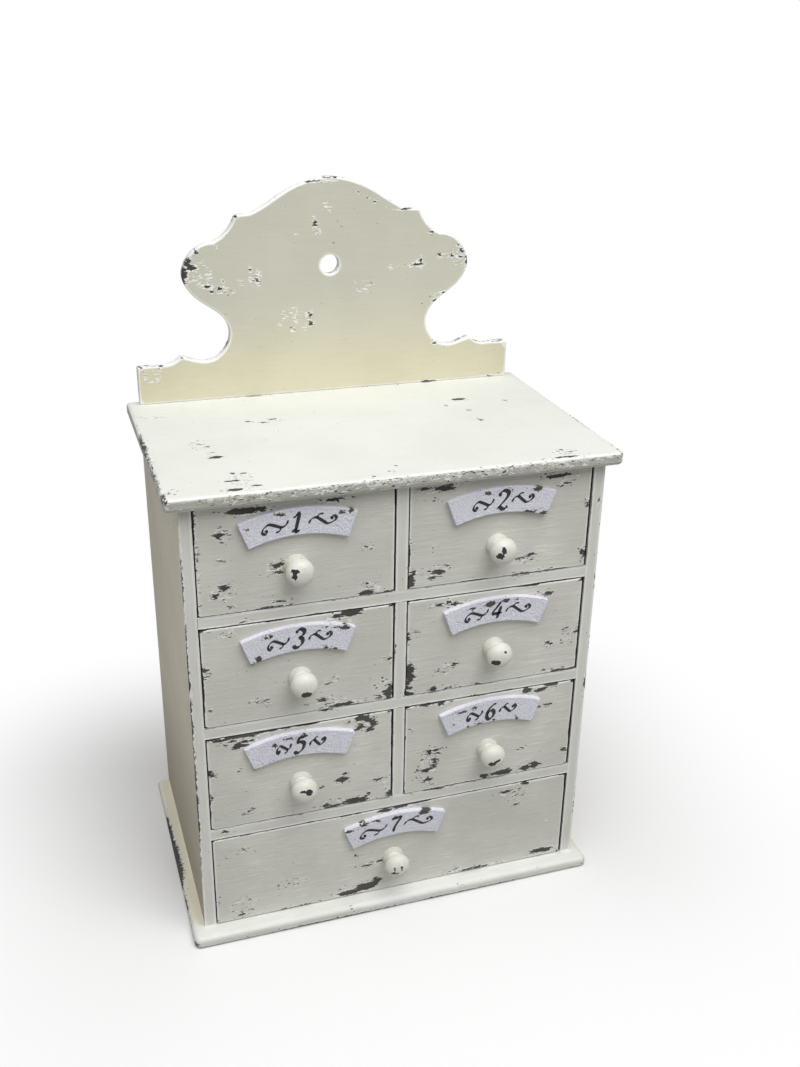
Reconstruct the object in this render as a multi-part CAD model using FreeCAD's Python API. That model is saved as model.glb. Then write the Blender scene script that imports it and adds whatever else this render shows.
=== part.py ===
"""Tabletop spice cabinet: seven drawers in a painted board carcass with a fretted crest.

Millimetres. X runs across the front, Y from the front to the back and Z up. The origin is
the middle of the base board's underside, so the cabinet stands on Z = 0 and faces -Y.
"""
import FreeCAD, Part
import math
import os

Vector = FreeCAD.Vector

touching = 1e-4              # two places this close are the same place

# ---------------------------------------------------------------- driving dimensions
# Board stock
carcass_board = 9.0          # sides, shelves, divider, drawer fronts
top_board_thickness = 10.0
base_board_thickness = 9.0
crest_thickness = 9.0
back_panel_thickness = 3.0

# Carcass
inner_width = 300.0          # between the two side panels
carcass_depth = 204.0        # front edges of the sides to the back
row_height = 83.0            # clear height of each of the three lower rows
top_row_height = 85.0
top_overhang = 10.0          # top board past the carcass, front and sides
base_side_overhang = 10.0
base_front_overhang = 13.5
board_corner = 5.0           # plan radius of the front corners of top and base
top_rim = 3.0                # rounding of the top board's edges, above and below
base_top_rim = 4.0           # rounding of the base board's upper edge
base_bottom_rim = 2.0

# Joints of the carcass
dado_depth = 3.0             # shelf ends let into the side panels
dado_stop = 8.0              # wood left in front of each dado, so that it doesn't show
rabbet_width = 4.5           # back panel let into the side panels

# Crest board
crest_height = 173.5
hang_hole_height = 105.0     # axis above the top board
hang_hole_radius = 8.0
crest_corner = 1.5           # rounding of the fretted outline's corners

# Drawer
front_corner = 2.0           # rounding of the front's four corners
front_edge = 1.3             # softened edge round the front face
outer_gap = 1.6              # between a drawer front and a side panel on the right
near_gap = 0.8               # on the left of every front
middle_gap = 1.2             # on the right of the left column, beside the divider
top_gap = 1.0
run_gap = 0.3                # under every drawer, and behind it
drawer_side = 6.0
drawer_back = 6.0
drawer_bottom = 3.0
side_inset = 0.7             # drawer side back from the end of its front
side_drop = 8.0              # drawer side below the top of its front
lap_thickness = 4.0          # wood left on the front over the end of each side
groove_depth = 3.0           # bottom panel let into front and sides
groove_height = 4.0          # wood under the bottom panel

# Turned knob
collar_radius = 8.8
bead_count = 3
bead_pitch = 1.6
bead_swell = 0.6
collar_step = 0.3            # each bead is this much slimmer than the one behind it
neck_radius = 6.9            # where the neck meets the back of the head
neck_hollow = 0.5            # deepest part of the neck, below that radius
head_radius = 10.3
head_back_depth = 5.0        # from the widest ring back to the axis
head_front_depth = 8.0       # from the widest ring forward to the tip
head_centre = 12.5           # widest ring of the head, from the drawer front
head_flatness = 0.8          # 1 makes the front of the head an ellipsoid, less flattens it
back_point_count = 4         # points on the curve of the head's back
dome_point_count = 8         # points on the curve of its front
knob_hole_depth = 12.0

# Label plate
label_outer_radius = 122.4
label_band = 20.4
label_half_angle = 20.5      # degrees
label_thickness = 4.0
label_corner = 1.0
label_edge = 0.6

# Screws
screw_shank = 1.5
screw_head = 3.0
screw_length = 25.0
screw_point = 3.0
screw_sink = 0.3             # heads below the wood
pan_head_radius = 3.5
pan_head_height = 2.2
pan_head_round = 1.2
recess_width = 0.8
recess_reach = 0.6           # each arm of the cross recess, as a share of the head's radius
recess_depth = 1.0
hole_gap = 0.05              # radial room round every screw
screw_margin = 26.0          # first and last screw of a row, from the board's ends
side_screw_count = 3
crest_screw_count = 3

# Hand placement of each drawer's label and knob, from the middle of its cell.
# name: column, row from the top, label across, label top below the cell, label tilt in
# degrees, knob across, knob axis above the cell's floor
drawer_plan = {
    "drawer_1": ("left", 0, 0.2, 7.7, 0.7, -1.6, 32.0),
    "drawer_2": ("right", 0, -1.7, 9.3, 0.0, -3.0, 28.5),
    "drawer_3": ("left", 1, -1.3, 5.7, 0.3, -0.4, 32.6),
    "drawer_4": ("right", 1, -1.4, 6.0, -0.2, -1.6, 32.6),
    "drawer_5": ("left", 2, -2.0, 4.8, 0.0, -1.6, 31.6),
    "drawer_6": ("right", 2, -1.8, 4.3, 0.7, -2.1, 31.4),
    "drawer_7": ("full", 3, -2.5, 5.1, 0.9, -3.6, 33.4),
}

# Fretted outline of the crest, right half, as shares of its half width and its height
shoulder = (1.0, 0.179)
shoulder_end = (0.849, 0.179)
cusp_hollow = (0.811, 0.191)
cusp = (0.777, 0.216)
bay_floor_outer = (0.704, 0.191)
bay_floor = (0.629, 0.186)
bay_waist = (0.524, 0.312)
bay_roof = (0.560, 0.389)
lobe_foot = (0.679, 0.474)
lobe_side = (0.750, 0.580)
lobe_crown = (0.706, 0.680)
lobe_end = (0.591, 0.728)
notch = (0.528, 0.767)
ledge_tip = (0.475, 0.844)
ledge_root = (0.406, 0.847)
brow_low = (0.327, 0.882)
brow_high = (0.208, 0.948)
brow_crown = (0.075, 0.991)
apex = (0.0, 1.0)

# ---------------------------------------------------------------- places that follow
carcass_width = inner_width + 2 * carcass_board
carcass_height = 3 * row_height + top_row_height + 3 * carcass_board
base_depth = carcass_depth + base_front_overhang
back_y = base_depth / 2
front_y = back_y - carcass_depth
panel_y = back_y - back_panel_thickness          # front face of the back panel
floor_z = base_board_thickness                   # top of the base board
roof_z = floor_z + carcass_height                # underside of the top board
top_z = roof_z + top_board_thickness
half_inner = inner_width / 2
half_carcass = carcass_width / 2
half_board = carcass_board / 2
drawer_back_y = panel_y - run_gap
lap_y = (front_y + panel_y) / 2                  # where shelves and divider halve


def shelf_floor(row):
    """Height of the floor that the drawers of a row, counted from the top, run on."""
    return floor_z + (3 - row) * (row_height + carcass_board)


shelf_rows = {"shelf_upper": 0, "shelf_middle": 1, "shelf_lower": 2}
lapped_rows = (0, 1)                             # shelves that cross the divider


# ---------------------------------------------------------------- helpers
def block(x0, x1, y0, y1, z0, z1):
    return Part.makeBox(x1 - x0, y1 - y0, z1 - z0, Vector(x0, y0, z0))


def runs_along(edge, axis):
    """True for a straight edge that is parallel to X, Y or Z (axis 0, 1 or 2)."""
    ends = [vertex.Point for vertex in edge.Vertexes]
    if len(ends) != 2:
        return False
    step = ends[1] - ends[0]
    others = [step[i] for i in range(3) if i != axis]
    return all(abs(value) < touching for value in others)


def edges_at(shape, axis, level):
    """Edges that lie wholly in the plane where X, Y or Z equals level."""
    found = []
    for edge in shape.Edges:
        box = edge.BoundBox
        low = (box.XMin, box.YMin, box.ZMin)[axis]
        high = (box.XMax, box.YMax, box.ZMax)[axis]
        if abs(low - level) < touching and abs(high - level) < touching:
            found.append(edge)
    return found


def lies_on_back(edge):
    return abs(edge.BoundBox.YMin - back_y) < touching


def spline(points):
    curve = Part.BSplineCurve()
    curve.interpolate(points)
    return curve.toShape()


def arc(a, b, c):
    return Part.Arc(a, b, c).toShape()


def straight(a, b):
    return Part.LineSegment(a, b).toShape()


def rimmed_board(half_width, y0, z0, thickness, upper_rim, lower_rim):
    """Board flush at the back, with rounded front corners and rounded edges."""
    board = block(-half_width, half_width, y0, back_y, z0, z0 + thickness)
    corners = [e for e in board.Edges if runs_along(e, 2) and abs(e.BoundBox.YMin - y0) < touching]
    board = board.makeFillet(board_corner, corners)
    for level, radius in ((z0 + thickness, upper_rim), (z0, lower_rim)):
        rim = [e for e in edges_at(board, 2, level) if not lies_on_back(e)]
        board = board.makeFillet(radius, rim)
    return board


# ---------------------------------------------------------------- screws
def cross_recess(head_r):
    """Cutter for a cross recess in a head whose face is at Z = 0 and looks down."""
    arm = head_r * recess_reach
    half = recess_width / 2
    one = block(-arm, arm, -half, half, -recess_depth, recess_depth)
    other = block(-half, half, -arm, arm, -recess_depth, recess_depth)
    return one.fuse(other)


def countersunk_body(shank, head, length, point):
    """Screw pointing up, its flat head in the plane Z = 0."""
    cone = head - shank
    profile = [Vector(0, 0, 0), Vector(head, 0, 0), Vector(shank, 0, cone),
               Vector(shank, 0, length - point), Vector(0, 0, length), Vector(0, 0, 0)]
    face = Part.Face(Part.makePolygon(profile))
    return face.revolve(Vector(0, 0, 0), Vector(0, 0, 1), 360)


def board_screw(x, y, z):
    body = countersunk_body(screw_shank, screw_head, screw_length, screw_point)
    screw = body.cut(cross_recess(screw_head))
    screw.translate(Vector(x, y, z + screw_sink))
    return screw


def board_screw_hole(x, y, z):
    """Pilot, clearance hole and countersink in one cutter, open at the board's face."""
    hole = countersunk_body(screw_shank + hole_gap, screw_head + hole_gap,
                            screw_length + hole_gap, screw_point)
    mouth = Part.makeCylinder(screw_head + hole_gap, 2 * screw_sink, Vector(0, 0, -2 * screw_sink))
    cutter = hole.fuse(mouth)
    cutter.translate(Vector(x, y, z + screw_sink))
    return cutter


def spaced(first, last, count):
    return [first + (last - first) * i / (count - 1) for i in range(count)]


side_screw_places = [(side * (half_inner + half_board), y, 0.0)
                     for side in (-1, 1)
                     for y in spaced(front_y + screw_margin, back_y - screw_margin, side_screw_count)]
crest_y = back_y - crest_thickness / 2
crest_screw_places = [(x, crest_y, roof_z)
                      for x in spaced(-half_inner + screw_margin, half_inner - screw_margin,
                                      crest_screw_count)]


def drill(board, places):
    for x, y, z in places:
        board = board.cut(board_screw_hole(x, y, z))
    return board


# ---------------------------------------------------------------- carcass boards
def make_top_board():
    board = rimmed_board(half_carcass + top_overhang, front_y - top_overhang, roof_z,
                         top_board_thickness, top_rim, top_rim)
    return drill(board, crest_screw_places)


def make_base_board():
    board = rimmed_board(half_carcass + base_side_overhang, front_y - base_front_overhang, 0.0,
                         base_board_thickness, base_top_rim, base_bottom_rim)
    return drill(board, side_screw_places)


def make_side_panel(side):
    """side is -1 for the left panel and 1 for the right one."""
    def across(near, far):
        return (near, far) if side > 0 else (-far, -near)

    x0, x1 = across(half_inner, half_carcass)
    panel = block(x0, x1, front_y, back_y, floor_z, roof_z)
    x0, x1 = across(half_inner, half_inner + dado_depth)
    for row in shelf_rows.values():
        z1 = shelf_floor(row)
        panel = panel.cut(block(x0, x1, front_y + dado_stop, panel_y, z1 - carcass_board, z1))
    x0, x1 = across(half_inner, half_inner + rabbet_width)
    panel = panel.cut(block(x0, x1, panel_y, back_y, floor_z, roof_z))
    own_screws = [place for place in side_screw_places if place[0] * side > 0]
    return drill(panel, own_screws)


def make_shelf(row):
    z1 = shelf_floor(row)
    z0 = z1 - carcass_board
    tongue = half_inner + dado_depth
    shelf = block(-tongue, tongue, front_y + dado_stop, panel_y, z0, z1)
    shelf = shelf.fuse(block(-half_inner, half_inner, front_y, panel_y, z0, z1)).removeSplitter()
    if row in lapped_rows:
        shelf = shelf.cut(block(-half_board, half_board, lap_y, panel_y, z0, z1))
    return shelf


def make_centre_divider():
    """Stands on the lower shelf, halved over the two shelves above it."""
    foot = shelf_floor(shelf_rows["shelf_lower"])
    divider = block(-half_board, half_board, front_y, panel_y, foot, roof_z)
    for row in lapped_rows:
        z1 = shelf_floor(row)
        divider = divider.cut(block(-half_board, half_board, front_y, lap_y, z1 - carcass_board, z1))
    return divider


def make_back_panel():
    half = half_inner + rabbet_width
    return block(-half, half, panel_y, back_y, floor_z, roof_z)


def crest_outline():
    """Closed outline in the plane Y = 0, standing on the top board at Z = 0."""
    def at(share, side):
        return Vector(side * share[0] * half_carcass, 0, share[1] * crest_height)

    edges = [straight(Vector(-half_carcass, 0, 0), Vector(half_carcass, 0, 0))]
    for side in (-1, 1):
        lobe = (cusp, bay_floor_outer, bay_floor, bay_waist, bay_roof,
                lobe_foot, lobe_side, lobe_crown, lobe_end)
        edges += [
            straight(Vector(side * half_carcass, 0, 0), at(shoulder, side)),
            straight(at(shoulder, side), at(shoulder_end, side)),
            arc(at(shoulder_end, side), at(cusp_hollow, side), at(cusp, side)),
            spline([at(share, side) for share in lobe]),
            arc(at(lobe_end, side), at(notch, side), at(ledge_tip, side)),
            straight(at(ledge_tip, side), at(ledge_root, side)),
        ]
    rise = (ledge_root, brow_low, brow_high, brow_crown)
    brow = [at(share, 1) for share in rise] + [at(apex, 1)]
    brow += [at(share, -1) for share in reversed(rise)]
    edges.append(spline(brow))
    return Part.Wire(Part.__sortEdges__(edges))


def make_crest_board():
    board = Part.Face(crest_outline()).extrude(Vector(0, crest_thickness, 0))
    for corner in (shoulder, cusp, ledge_tip):
        reach = corner[0] * half_carcass
        height = corner[1] * crest_height
        sharp = [e for e in board.Edges if runs_along(e, 1)
                 and abs(abs(e.BoundBox.XMax) - reach) < touching
                 and abs(e.BoundBox.ZMax - height) < touching]
        board = board.makeFillet(crest_corner, sharp)
    board.translate(Vector(0, back_y - crest_thickness, top_z))
    hole = Part.makeCylinder(hang_hole_radius, crest_thickness,
                             Vector(0, back_y - crest_thickness, top_z + hang_hole_height),
                             Vector(0, 1, 0))
    return drill(board.cut(hole), crest_screw_places)


# ---------------------------------------------------------------- drawers
def cell(column, row):
    """Clear opening x0, x1, z0, z1 of a drawer."""
    z0 = shelf_floor(row)
    z1 = z0 + (top_row_height if row == 0 else row_height)
    spans = {"left": (-half_inner, -half_board), "right": (half_board, half_inner),
             "full": (-half_inner, half_inner)}
    x0, x1 = spans[column]
    return x0, x1, z0, z1


class DrawerSizes:
    """Every edge of one drawer, worked out from its cell."""

    def __init__(self, name):
        column, row, label_x, label_drop, self.label_tilt, knob_x, knob_rise = drawer_plan[name]
        x0, x1, z0, z1 = cell(column, row)
        right_gap = middle_gap if column == "left" else outer_gap
        self.x0 = x0 + near_gap
        self.x1 = x1 - right_gap
        self.z0 = z0 + run_gap
        self.z1 = z1 - top_gap
        self.inner_y = front_y + carcass_board
        self.left = self.x0 + side_inset
        self.right = self.x1 - side_inset
        self.rim = self.z1 - side_drop
        self.panel_z0 = self.z0 + groove_height
        self.panel_z1 = self.panel_z0 + drawer_bottom
        middle = (x0 + x1) / 2
        self.label_x = middle + label_x
        self.label_top = z1 - label_drop
        self.knob_x = middle + knob_x
        self.knob_z = z0 + knob_rise


def bottom_block(d):
    """Bottom panel, let into the front and the sides and run under the back."""
    return block(d.left + drawer_side - groove_depth, d.right - drawer_side + groove_depth,
                 d.inner_y - groove_depth, drawer_back_y, d.panel_z0, d.panel_z1)


def make_drawer_front(d):
    front = block(d.x0, d.x1, front_y, d.inner_y, d.z0, d.z1)
    front = front.makeFillet(front_corner, [e for e in front.Edges if runs_along(e, 1)])
    front = front.makeFillet(front_edge, edges_at(front, 1, front_y))
    lap_back = front_y + lap_thickness
    for x0, x1 in ((d.x0, d.left + drawer_side), (d.right - drawer_side, d.x1)):
        front = front.cut(block(x0, x1, lap_back, d.inner_y, d.z0, d.rim))
    front = front.cut(bottom_block(d))
    hole = Part.makeCylinder(screw_shank + hole_gap, carcass_board,
                             Vector(d.knob_x, front_y, d.knob_z), Vector(0, 1, 0))
    return front.cut(hole)


def make_drawer_sides(d):
    lap_back = front_y + lap_thickness
    left = block(d.left, d.left + drawer_side, lap_back, drawer_back_y, d.z0, d.rim)
    right = block(d.right - drawer_side, d.right, lap_back, drawer_back_y, d.z0, d.rim)
    grooves = block(d.left + drawer_side - groove_depth, d.right - drawer_side + groove_depth,
                    lap_back, drawer_back_y, d.panel_z0, d.panel_z1)
    return Part.makeCompound([left.cut(grooves), right.cut(grooves)])


def make_drawer_back(d):
    return block(d.left + drawer_side, d.right - drawer_side, drawer_back_y - drawer_back,
                 drawer_back_y, d.panel_z1, d.rim)


def knob_profile():
    """Half profile of the knob: X is the radius, Z the distance out from the front."""
    edges = []
    last = Vector(0, 0, 0)
    foot = 0.0
    for bead in range(bead_count):
        radius = collar_radius - bead_swell - bead * collar_step
        start = Vector(radius, 0, foot)
        swell = Vector(radius + bead_swell, 0, foot + bead_pitch / 2)
        end = Vector(radius, 0, foot + bead_pitch)
        edges.append(straight(last, start))
        edges.append(arc(start, swell, end))
        last = end
        foot += bead_pitch
    start_angle = math.acos(neck_radius / head_radius)
    neck = Vector(neck_radius, 0, head_centre - head_back_depth * math.sin(start_angle))
    hollow = Vector(neck_radius - neck_hollow, 0, (last.z + neck.z) / 2)
    edges.append(arc(last, hollow, neck))
    curve = []
    for i in range(back_point_count):
        angle = start_angle * (i / back_point_count - 1)
        curve.append(Vector(head_radius * math.cos(angle), 0,
                            head_centre + head_back_depth * math.sin(angle)))
    for i in range(dome_point_count):
        angle = math.pi / 2 * i / dome_point_count
        curve.append(Vector(head_radius * math.cos(angle) ** head_flatness, 0,
                            head_centre + head_front_depth * math.sin(angle)))
    tip = Vector(0, 0, head_centre + head_front_depth)
    edges.append(spline(curve + [tip]))
    edges.append(straight(tip, Vector(0, 0, 0)))
    return Part.Face(Part.Wire(edges))


def facing_front(shape, x, z):
    """Turn a shape built round +Z so that it points out of the drawer front at x, z."""
    shape.rotate(Vector(0, 0, 0), Vector(1, 0, 0), 90)
    shape.translate(Vector(x, front_y, z))
    return shape


def make_drawer_knob(d):
    knob = knob_profile().revolve(Vector(0, 0, 0), Vector(0, 0, 1), 360)
    knob = knob.cut(Part.makeCylinder(screw_shank + hole_gap, knob_hole_depth))
    return facing_front(knob, d.knob_x, d.knob_z)


def make_drawer_knob_screw(d):
    """Pan-head screw from inside the drawer, through the front and into the knob."""
    reach = knob_hole_depth - 2 * hole_gap
    shank = Part.makeCylinder(screw_shank, reach + carcass_board - screw_point,
                              Vector(0, 0, -carcass_board))
    point = Part.makeCone(screw_shank, 0.0, screw_point, Vector(0, 0, reach - screw_point))
    crown = -carcass_board - pan_head_height
    head = Part.makeCylinder(pan_head_radius, pan_head_height, Vector(0, 0, crown))
    head = head.makeFillet(pan_head_round, edges_at(head, 2, crown))
    recess = cross_recess(pan_head_radius)
    recess.translate(Vector(0, 0, crown))
    screw = shank.fuse([point, head]).removeSplitter().cut(recess)
    return facing_front(screw, d.knob_x, d.knob_z)


def make_drawer_label(d):
    """Arched plate glued to the front, curved like a slice of a ring."""
    spread = math.radians(label_half_angle)
    outer = label_outer_radius
    inner = label_outer_radius - label_band

    def at(radius, angle):
        return Vector(radius * math.sin(angle), 0, radius * math.cos(angle) - outer)

    outline = Part.Wire([
        arc(at(outer, -spread), at(outer, 0), at(outer, spread)),
        straight(at(outer, spread), at(inner, spread)),
        arc(at(inner, spread), at(inner, 0), at(inner, -spread)),
        straight(at(inner, -spread), at(outer, -spread)),
    ])
    plate = Part.Face(outline).extrude(Vector(0, -label_thickness, 0))
    plate = plate.makeFillet(label_corner, [e for e in plate.Edges if runs_along(e, 1)])
    plate = plate.makeFillet(label_edge, edges_at(plate, 1, -label_thickness))
    pivot = Vector(0, 0, -label_band / 2)
    plate.rotate(pivot, Vector(0, -1, 0), d.label_tilt)
    plate.translate(Vector(d.label_x, front_y, d.label_top))
    return plate


# ---------------------------------------------------------------- build every node
def build():
    nodes = {
        "top_board": make_top_board(),
        "crest_board": make_crest_board(),
        "base_board": make_base_board(),
        "side_panel_left": make_side_panel(-1),
        "side_panel_right": make_side_panel(1),
        "centre_divider": make_centre_divider(),
        "back_panel": make_back_panel(),
        "carcass_screws": Part.makeCompound(
            [board_screw(*place) for place in side_screw_places + crest_screw_places]),
    }
    for name, row in shelf_rows.items():
        nodes[name] = make_shelf(row)
    for name in drawer_plan:
        d = DrawerSizes(name)
        nodes[name + "_front"] = make_drawer_front(d)
        nodes[name + "_sides"] = make_drawer_sides(d)
        nodes[name + "_back"] = make_drawer_back(d)
        nodes[name + "_bottom"] = bottom_block(d)
        nodes[name + "_knob"] = make_drawer_knob(d)
        nodes[name + "_knob_screw"] = make_drawer_knob_screw(d)
        nodes[name + "_label"] = make_drawer_label(d)
    return nodes


os.makedirs("parts", exist_ok=True)
for node, shape in build().items():
    if not shape.isValid():
        print("not valid:", node)
    shape.exportStep("parts/" + node + ".step")
    box = shape.BoundBox
    print("%-22s %6.1f x %6.1f x %6.1f  volume %9.0f" % (
        node, box.XLength, box.YLength, box.ZLength, shape.Volume))
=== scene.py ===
# %% [markdown]
# # A painted spice cabinet, dressed for rendering
# The joinery is already there: boards, turned knobs, label plates and screws come in as a fixed
# frame, each at its real size. What is left to make is what a painter, a sign writer and wear
# add: chalk paint over a dark undercoat, chips, brush marks, rough label plates with a painted
# numeral, bare timber inside the drawers.
# Everything is in metres, X across the front, Y towards the back and Z up.

import math
from functools import partialmethod

import bpy
from mathutils import Matrix, Vector
from mathutils.geometry import delaunay_2d_cdt


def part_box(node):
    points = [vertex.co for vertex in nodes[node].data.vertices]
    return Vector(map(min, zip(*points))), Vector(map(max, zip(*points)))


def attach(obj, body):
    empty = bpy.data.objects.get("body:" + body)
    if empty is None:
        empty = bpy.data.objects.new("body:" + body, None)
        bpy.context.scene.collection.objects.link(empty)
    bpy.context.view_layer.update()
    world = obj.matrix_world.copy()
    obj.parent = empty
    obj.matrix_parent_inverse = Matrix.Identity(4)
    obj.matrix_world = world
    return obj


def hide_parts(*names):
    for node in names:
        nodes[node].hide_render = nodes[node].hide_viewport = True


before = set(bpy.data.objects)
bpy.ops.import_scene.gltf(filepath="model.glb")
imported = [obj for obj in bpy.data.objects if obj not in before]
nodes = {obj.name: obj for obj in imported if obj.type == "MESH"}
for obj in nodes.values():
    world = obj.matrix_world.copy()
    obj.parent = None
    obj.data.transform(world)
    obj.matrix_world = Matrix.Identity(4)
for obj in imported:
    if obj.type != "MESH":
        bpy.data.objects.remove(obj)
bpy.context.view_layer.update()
mm = 0.001

# %% [markdown]
# ## The camera
# A camera is a place, three angles and a lens. Yaw turns it to the right, pitch tips it down
# and roll leans it. Building its matrix from three directions says exactly that, where a
# "look at this point" constraint would hide the roll.

# %% Camera
def show(name, data):
    """A new object in the scene that holds a camera, a lamp or a mesh."""
    piece = bpy.data.objects.new(name, data)
    bpy.context.scene.collection.objects.link(piece)
    return piece


camera_place = Vector((-0.24673, -0.82204, 0.67962))
camera_yaw = 0.3249
camera_pitch = 0.4259
camera_roll = 0.0176
camera_lens = 39.57
camera_sight = 50.0


def make_camera():
    ahead = Vector((math.sin(camera_yaw) * math.cos(camera_pitch),
                    math.cos(camera_yaw) * math.cos(camera_pitch),
                    -math.sin(camera_pitch)))
    level = Vector((math.cos(camera_yaw), -math.sin(camera_yaw), 0))
    upright = level.cross(ahead)
    right = math.cos(camera_roll) * level + math.sin(camera_roll) * upright
    up = math.cos(camera_roll) * upright - math.sin(camera_roll) * level
    data = bpy.data.cameras.new("camera")
    data.lens = camera_lens
    data.clip_end = camera_sight
    camera = show("camera", data)
    turned = Matrix((right, up, -ahead)).transposed().to_4x4()
    camera.matrix_world = Matrix.Translation(camera_place) @ turned
    return camera


bpy.context.scene.camera = make_camera()
bpy.context.scene.view_settings.view_transform = "Standard"
print("camera at", tuple(round(v, 3) for v in camera_place))

# %% [markdown]
# ## Writing node trees in code
# A material is a graph, and a graph written call by call soon hides what it does. This small
# class has one method for each kind of node and each sum that the finishes need. Every argument
# may be a number or the output of another node, so a recipe reads like a formula.


# %% A helper for node trees
class Recipe:
    """A node tree being written. Arguments may be values or sockets."""

    def __init__(self, tree):
        self.tree = tree

    def node(self, kind, inputs, **settings):
        node = self.tree.nodes.new(kind)
        for name, value in settings.items():
            setattr(node, name, value)
        for name, value in inputs.items():
            if isinstance(value, bpy.types.NodeSocket):
                self.tree.links.new(value, node.inputs[name])
            elif value is not None:
                node.inputs[name].default_value = value
        return node

    def math(self, operation, a, b=None, c=None):
        return self.node("ShaderNodeMath", {0: a, 1: b, 2: c}, operation=operation).outputs[0]

    def vector(self, operation, a, b=None):
        node = self.node("ShaderNodeVectorMath", {0: a, 1: b}, operation=operation)
        return node.outputs["Value" if operation == "LENGTH" else "Vector"]

    def axes(self, vector):
        return self.node("ShaderNodeSeparateXYZ", {0: vector}).outputs

    def step(self, value, low, high, to_low=0.0, to_high=1.0):
        """Smooth change from to_low to to_high as value passes from low to high."""
        inputs = {0: value, 1: low, 2: high, 3: to_low, 4: to_high}
        return self.node("ShaderNodeMapRange", inputs, interpolation_type="SMOOTHSTEP").outputs[0]

    def mix(self, share, a, b, blend="MIX"):
        """Colour a, going to colour b as share goes from 0 to 1."""
        node = self.node("ShaderNodeMix", {0: share, 6: a, 7: b}, data_type="RGBA", blend_type=blend)
        return node.outputs[2]

    def noise(self, position, frequency, detail=2.0, roughness=0.5, apart=0.0):
        """Noise from 0 to 1. frequency is in cycles a metre, one value or one for each axis, and
        another value of apart, in metres, gives an independent pattern."""
        if apart:
            position = self.vector("ADD", position, (apart, 0.7 * apart, 0.4 * apart))
        if not isinstance(frequency, (int, float)):
            position, frequency = self.vector("MULTIPLY", position, frequency), 1.0
        inputs = {"Vector": position, "Scale": frequency, "Detail": detail, "Roughness": roughness}
        return self.node("ShaderNodeTexNoise", inputs).outputs[0]

    def group(self, tree, **inputs):
        labels = {name.replace("_", " ").capitalize(): value for name, value in inputs.items()}
        return self.node("ShaderNodeGroup", labels, node_tree=tree).outputs


for operation in ("ABSOLUTE", "ADD", "MAXIMUM", "MINIMUM", "MULTIPLY", "MULTIPLY_ADD", "PINGPONG",
                  "POWER", "SINE", "SQRT", "SUBTRACT"):
    setattr(Recipe, operation.lower(), partialmethod(Recipe.math, operation))

socket_kinds = {float: "NodeSocketFloat", tuple: "NodeSocketVector"}
zeros = (0.0, 0.0, 0.0)
ones = (1.0, 1.0, 1.0)


def shader_group(inputs, outputs):
    """Turns a function into a shader group of the same name. The function takes a recipe and the
    group's given inputs, and returns its results by the outputs' labels."""
    def build(write):
        tree = bpy.data.node_groups.new(write.__name__, "ShaderNodeTree")
        for label, value in inputs.items():
            kind = socket_kinds[type(value)]
            socket = tree.interface.new_socket(label, in_out="INPUT", socket_type=kind)
            socket.default_value = value
        for label, kind in outputs.items():
            tree.interface.new_socket(label, in_out="OUTPUT", socket_type=socket_kinds[kind])
        given = tree.nodes.new("NodeGroupInput").outputs
        result = tree.nodes.new("NodeGroupOutput").inputs
        for label, value in write(Recipe(tree), given).items():
            tree.links.new(value, result[label])
        print("group", tree.name)
        return tree
    return build


print("recipe helper ready")

# %% [markdown]
# ## Distance to the nearest edge of a board
# Paint wears first where a board has an edge. A board is nearly a box, so for a point on its
# skin there are three distances, one to each pair of faces: the smallest is almost nothing,
# because the point lies on that face, and the middle one is the distance to the nearest edge.
# This costs a few sums, works on any board and needs no baking.


# %% Group: board edge
@shader_group({"Position": zeros, "Low corner": zeros, "High corner": ones},
              {"Edge distance": float})
def board_edge(r, given):
    from_low = r.vector("SUBTRACT", given["Position"], given["Low corner"])
    from_high = r.vector("SUBTRACT", given["High corner"], given["Position"])
    a, b, c = r.axes(r.vector("ABSOLUTE", r.vector("MINIMUM", from_low, from_high)))
    larger = r.maximum(a, b)
    middle = r.maximum(r.minimum(a, b), r.minimum(larger, c))
    return {"Edge distance": middle}


# %% [markdown]
# ## A chip at a chosen place
# Noise would spread the wear evenly, but these chips gather along edges and beside knobs, so
# each has a place of its own: an ellipsoid given by its centre and three radii, in metres. The
# field tells how deep a point lies inside it, and is negative outside. Chips are chained by
# handing the field so far to the next one, which keeps the larger value.


# %% Group: chip
@shader_group({"Position": zeros, "Centre": zeros, "Radii": ones, "Smallest radius": 1.0,
               "Field": -1.0}, {"Field": float})
def chip(r, given):
    offset = r.vector("SUBTRACT", given["Position"], given["Centre"])
    share = r.vector("LENGTH", r.vector("DIVIDE", offset, given["Radii"]))
    depth = r.multiply(r.subtract(1.0, share), given["Smallest radius"])
    return {"Field": r.maximum(given["Field"], depth)}


# %% [markdown]
# ## Flaking
# An ellipse is no chip. Old paint breaks off in small plates, a little longer along the grain.
# So the place at which the chips are looked up is shaken by noise, and then pulled towards the
# middle of a Voronoi cell, one for each plate of paint. Every chip keeps its place and size,
# but its outline becomes angular and torn.


# %% Group: flaking
paint_shake = 5.5 * mm
shake_scale = 300.0
plate_scale = 950.0
plate_pull = 0.65


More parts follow.
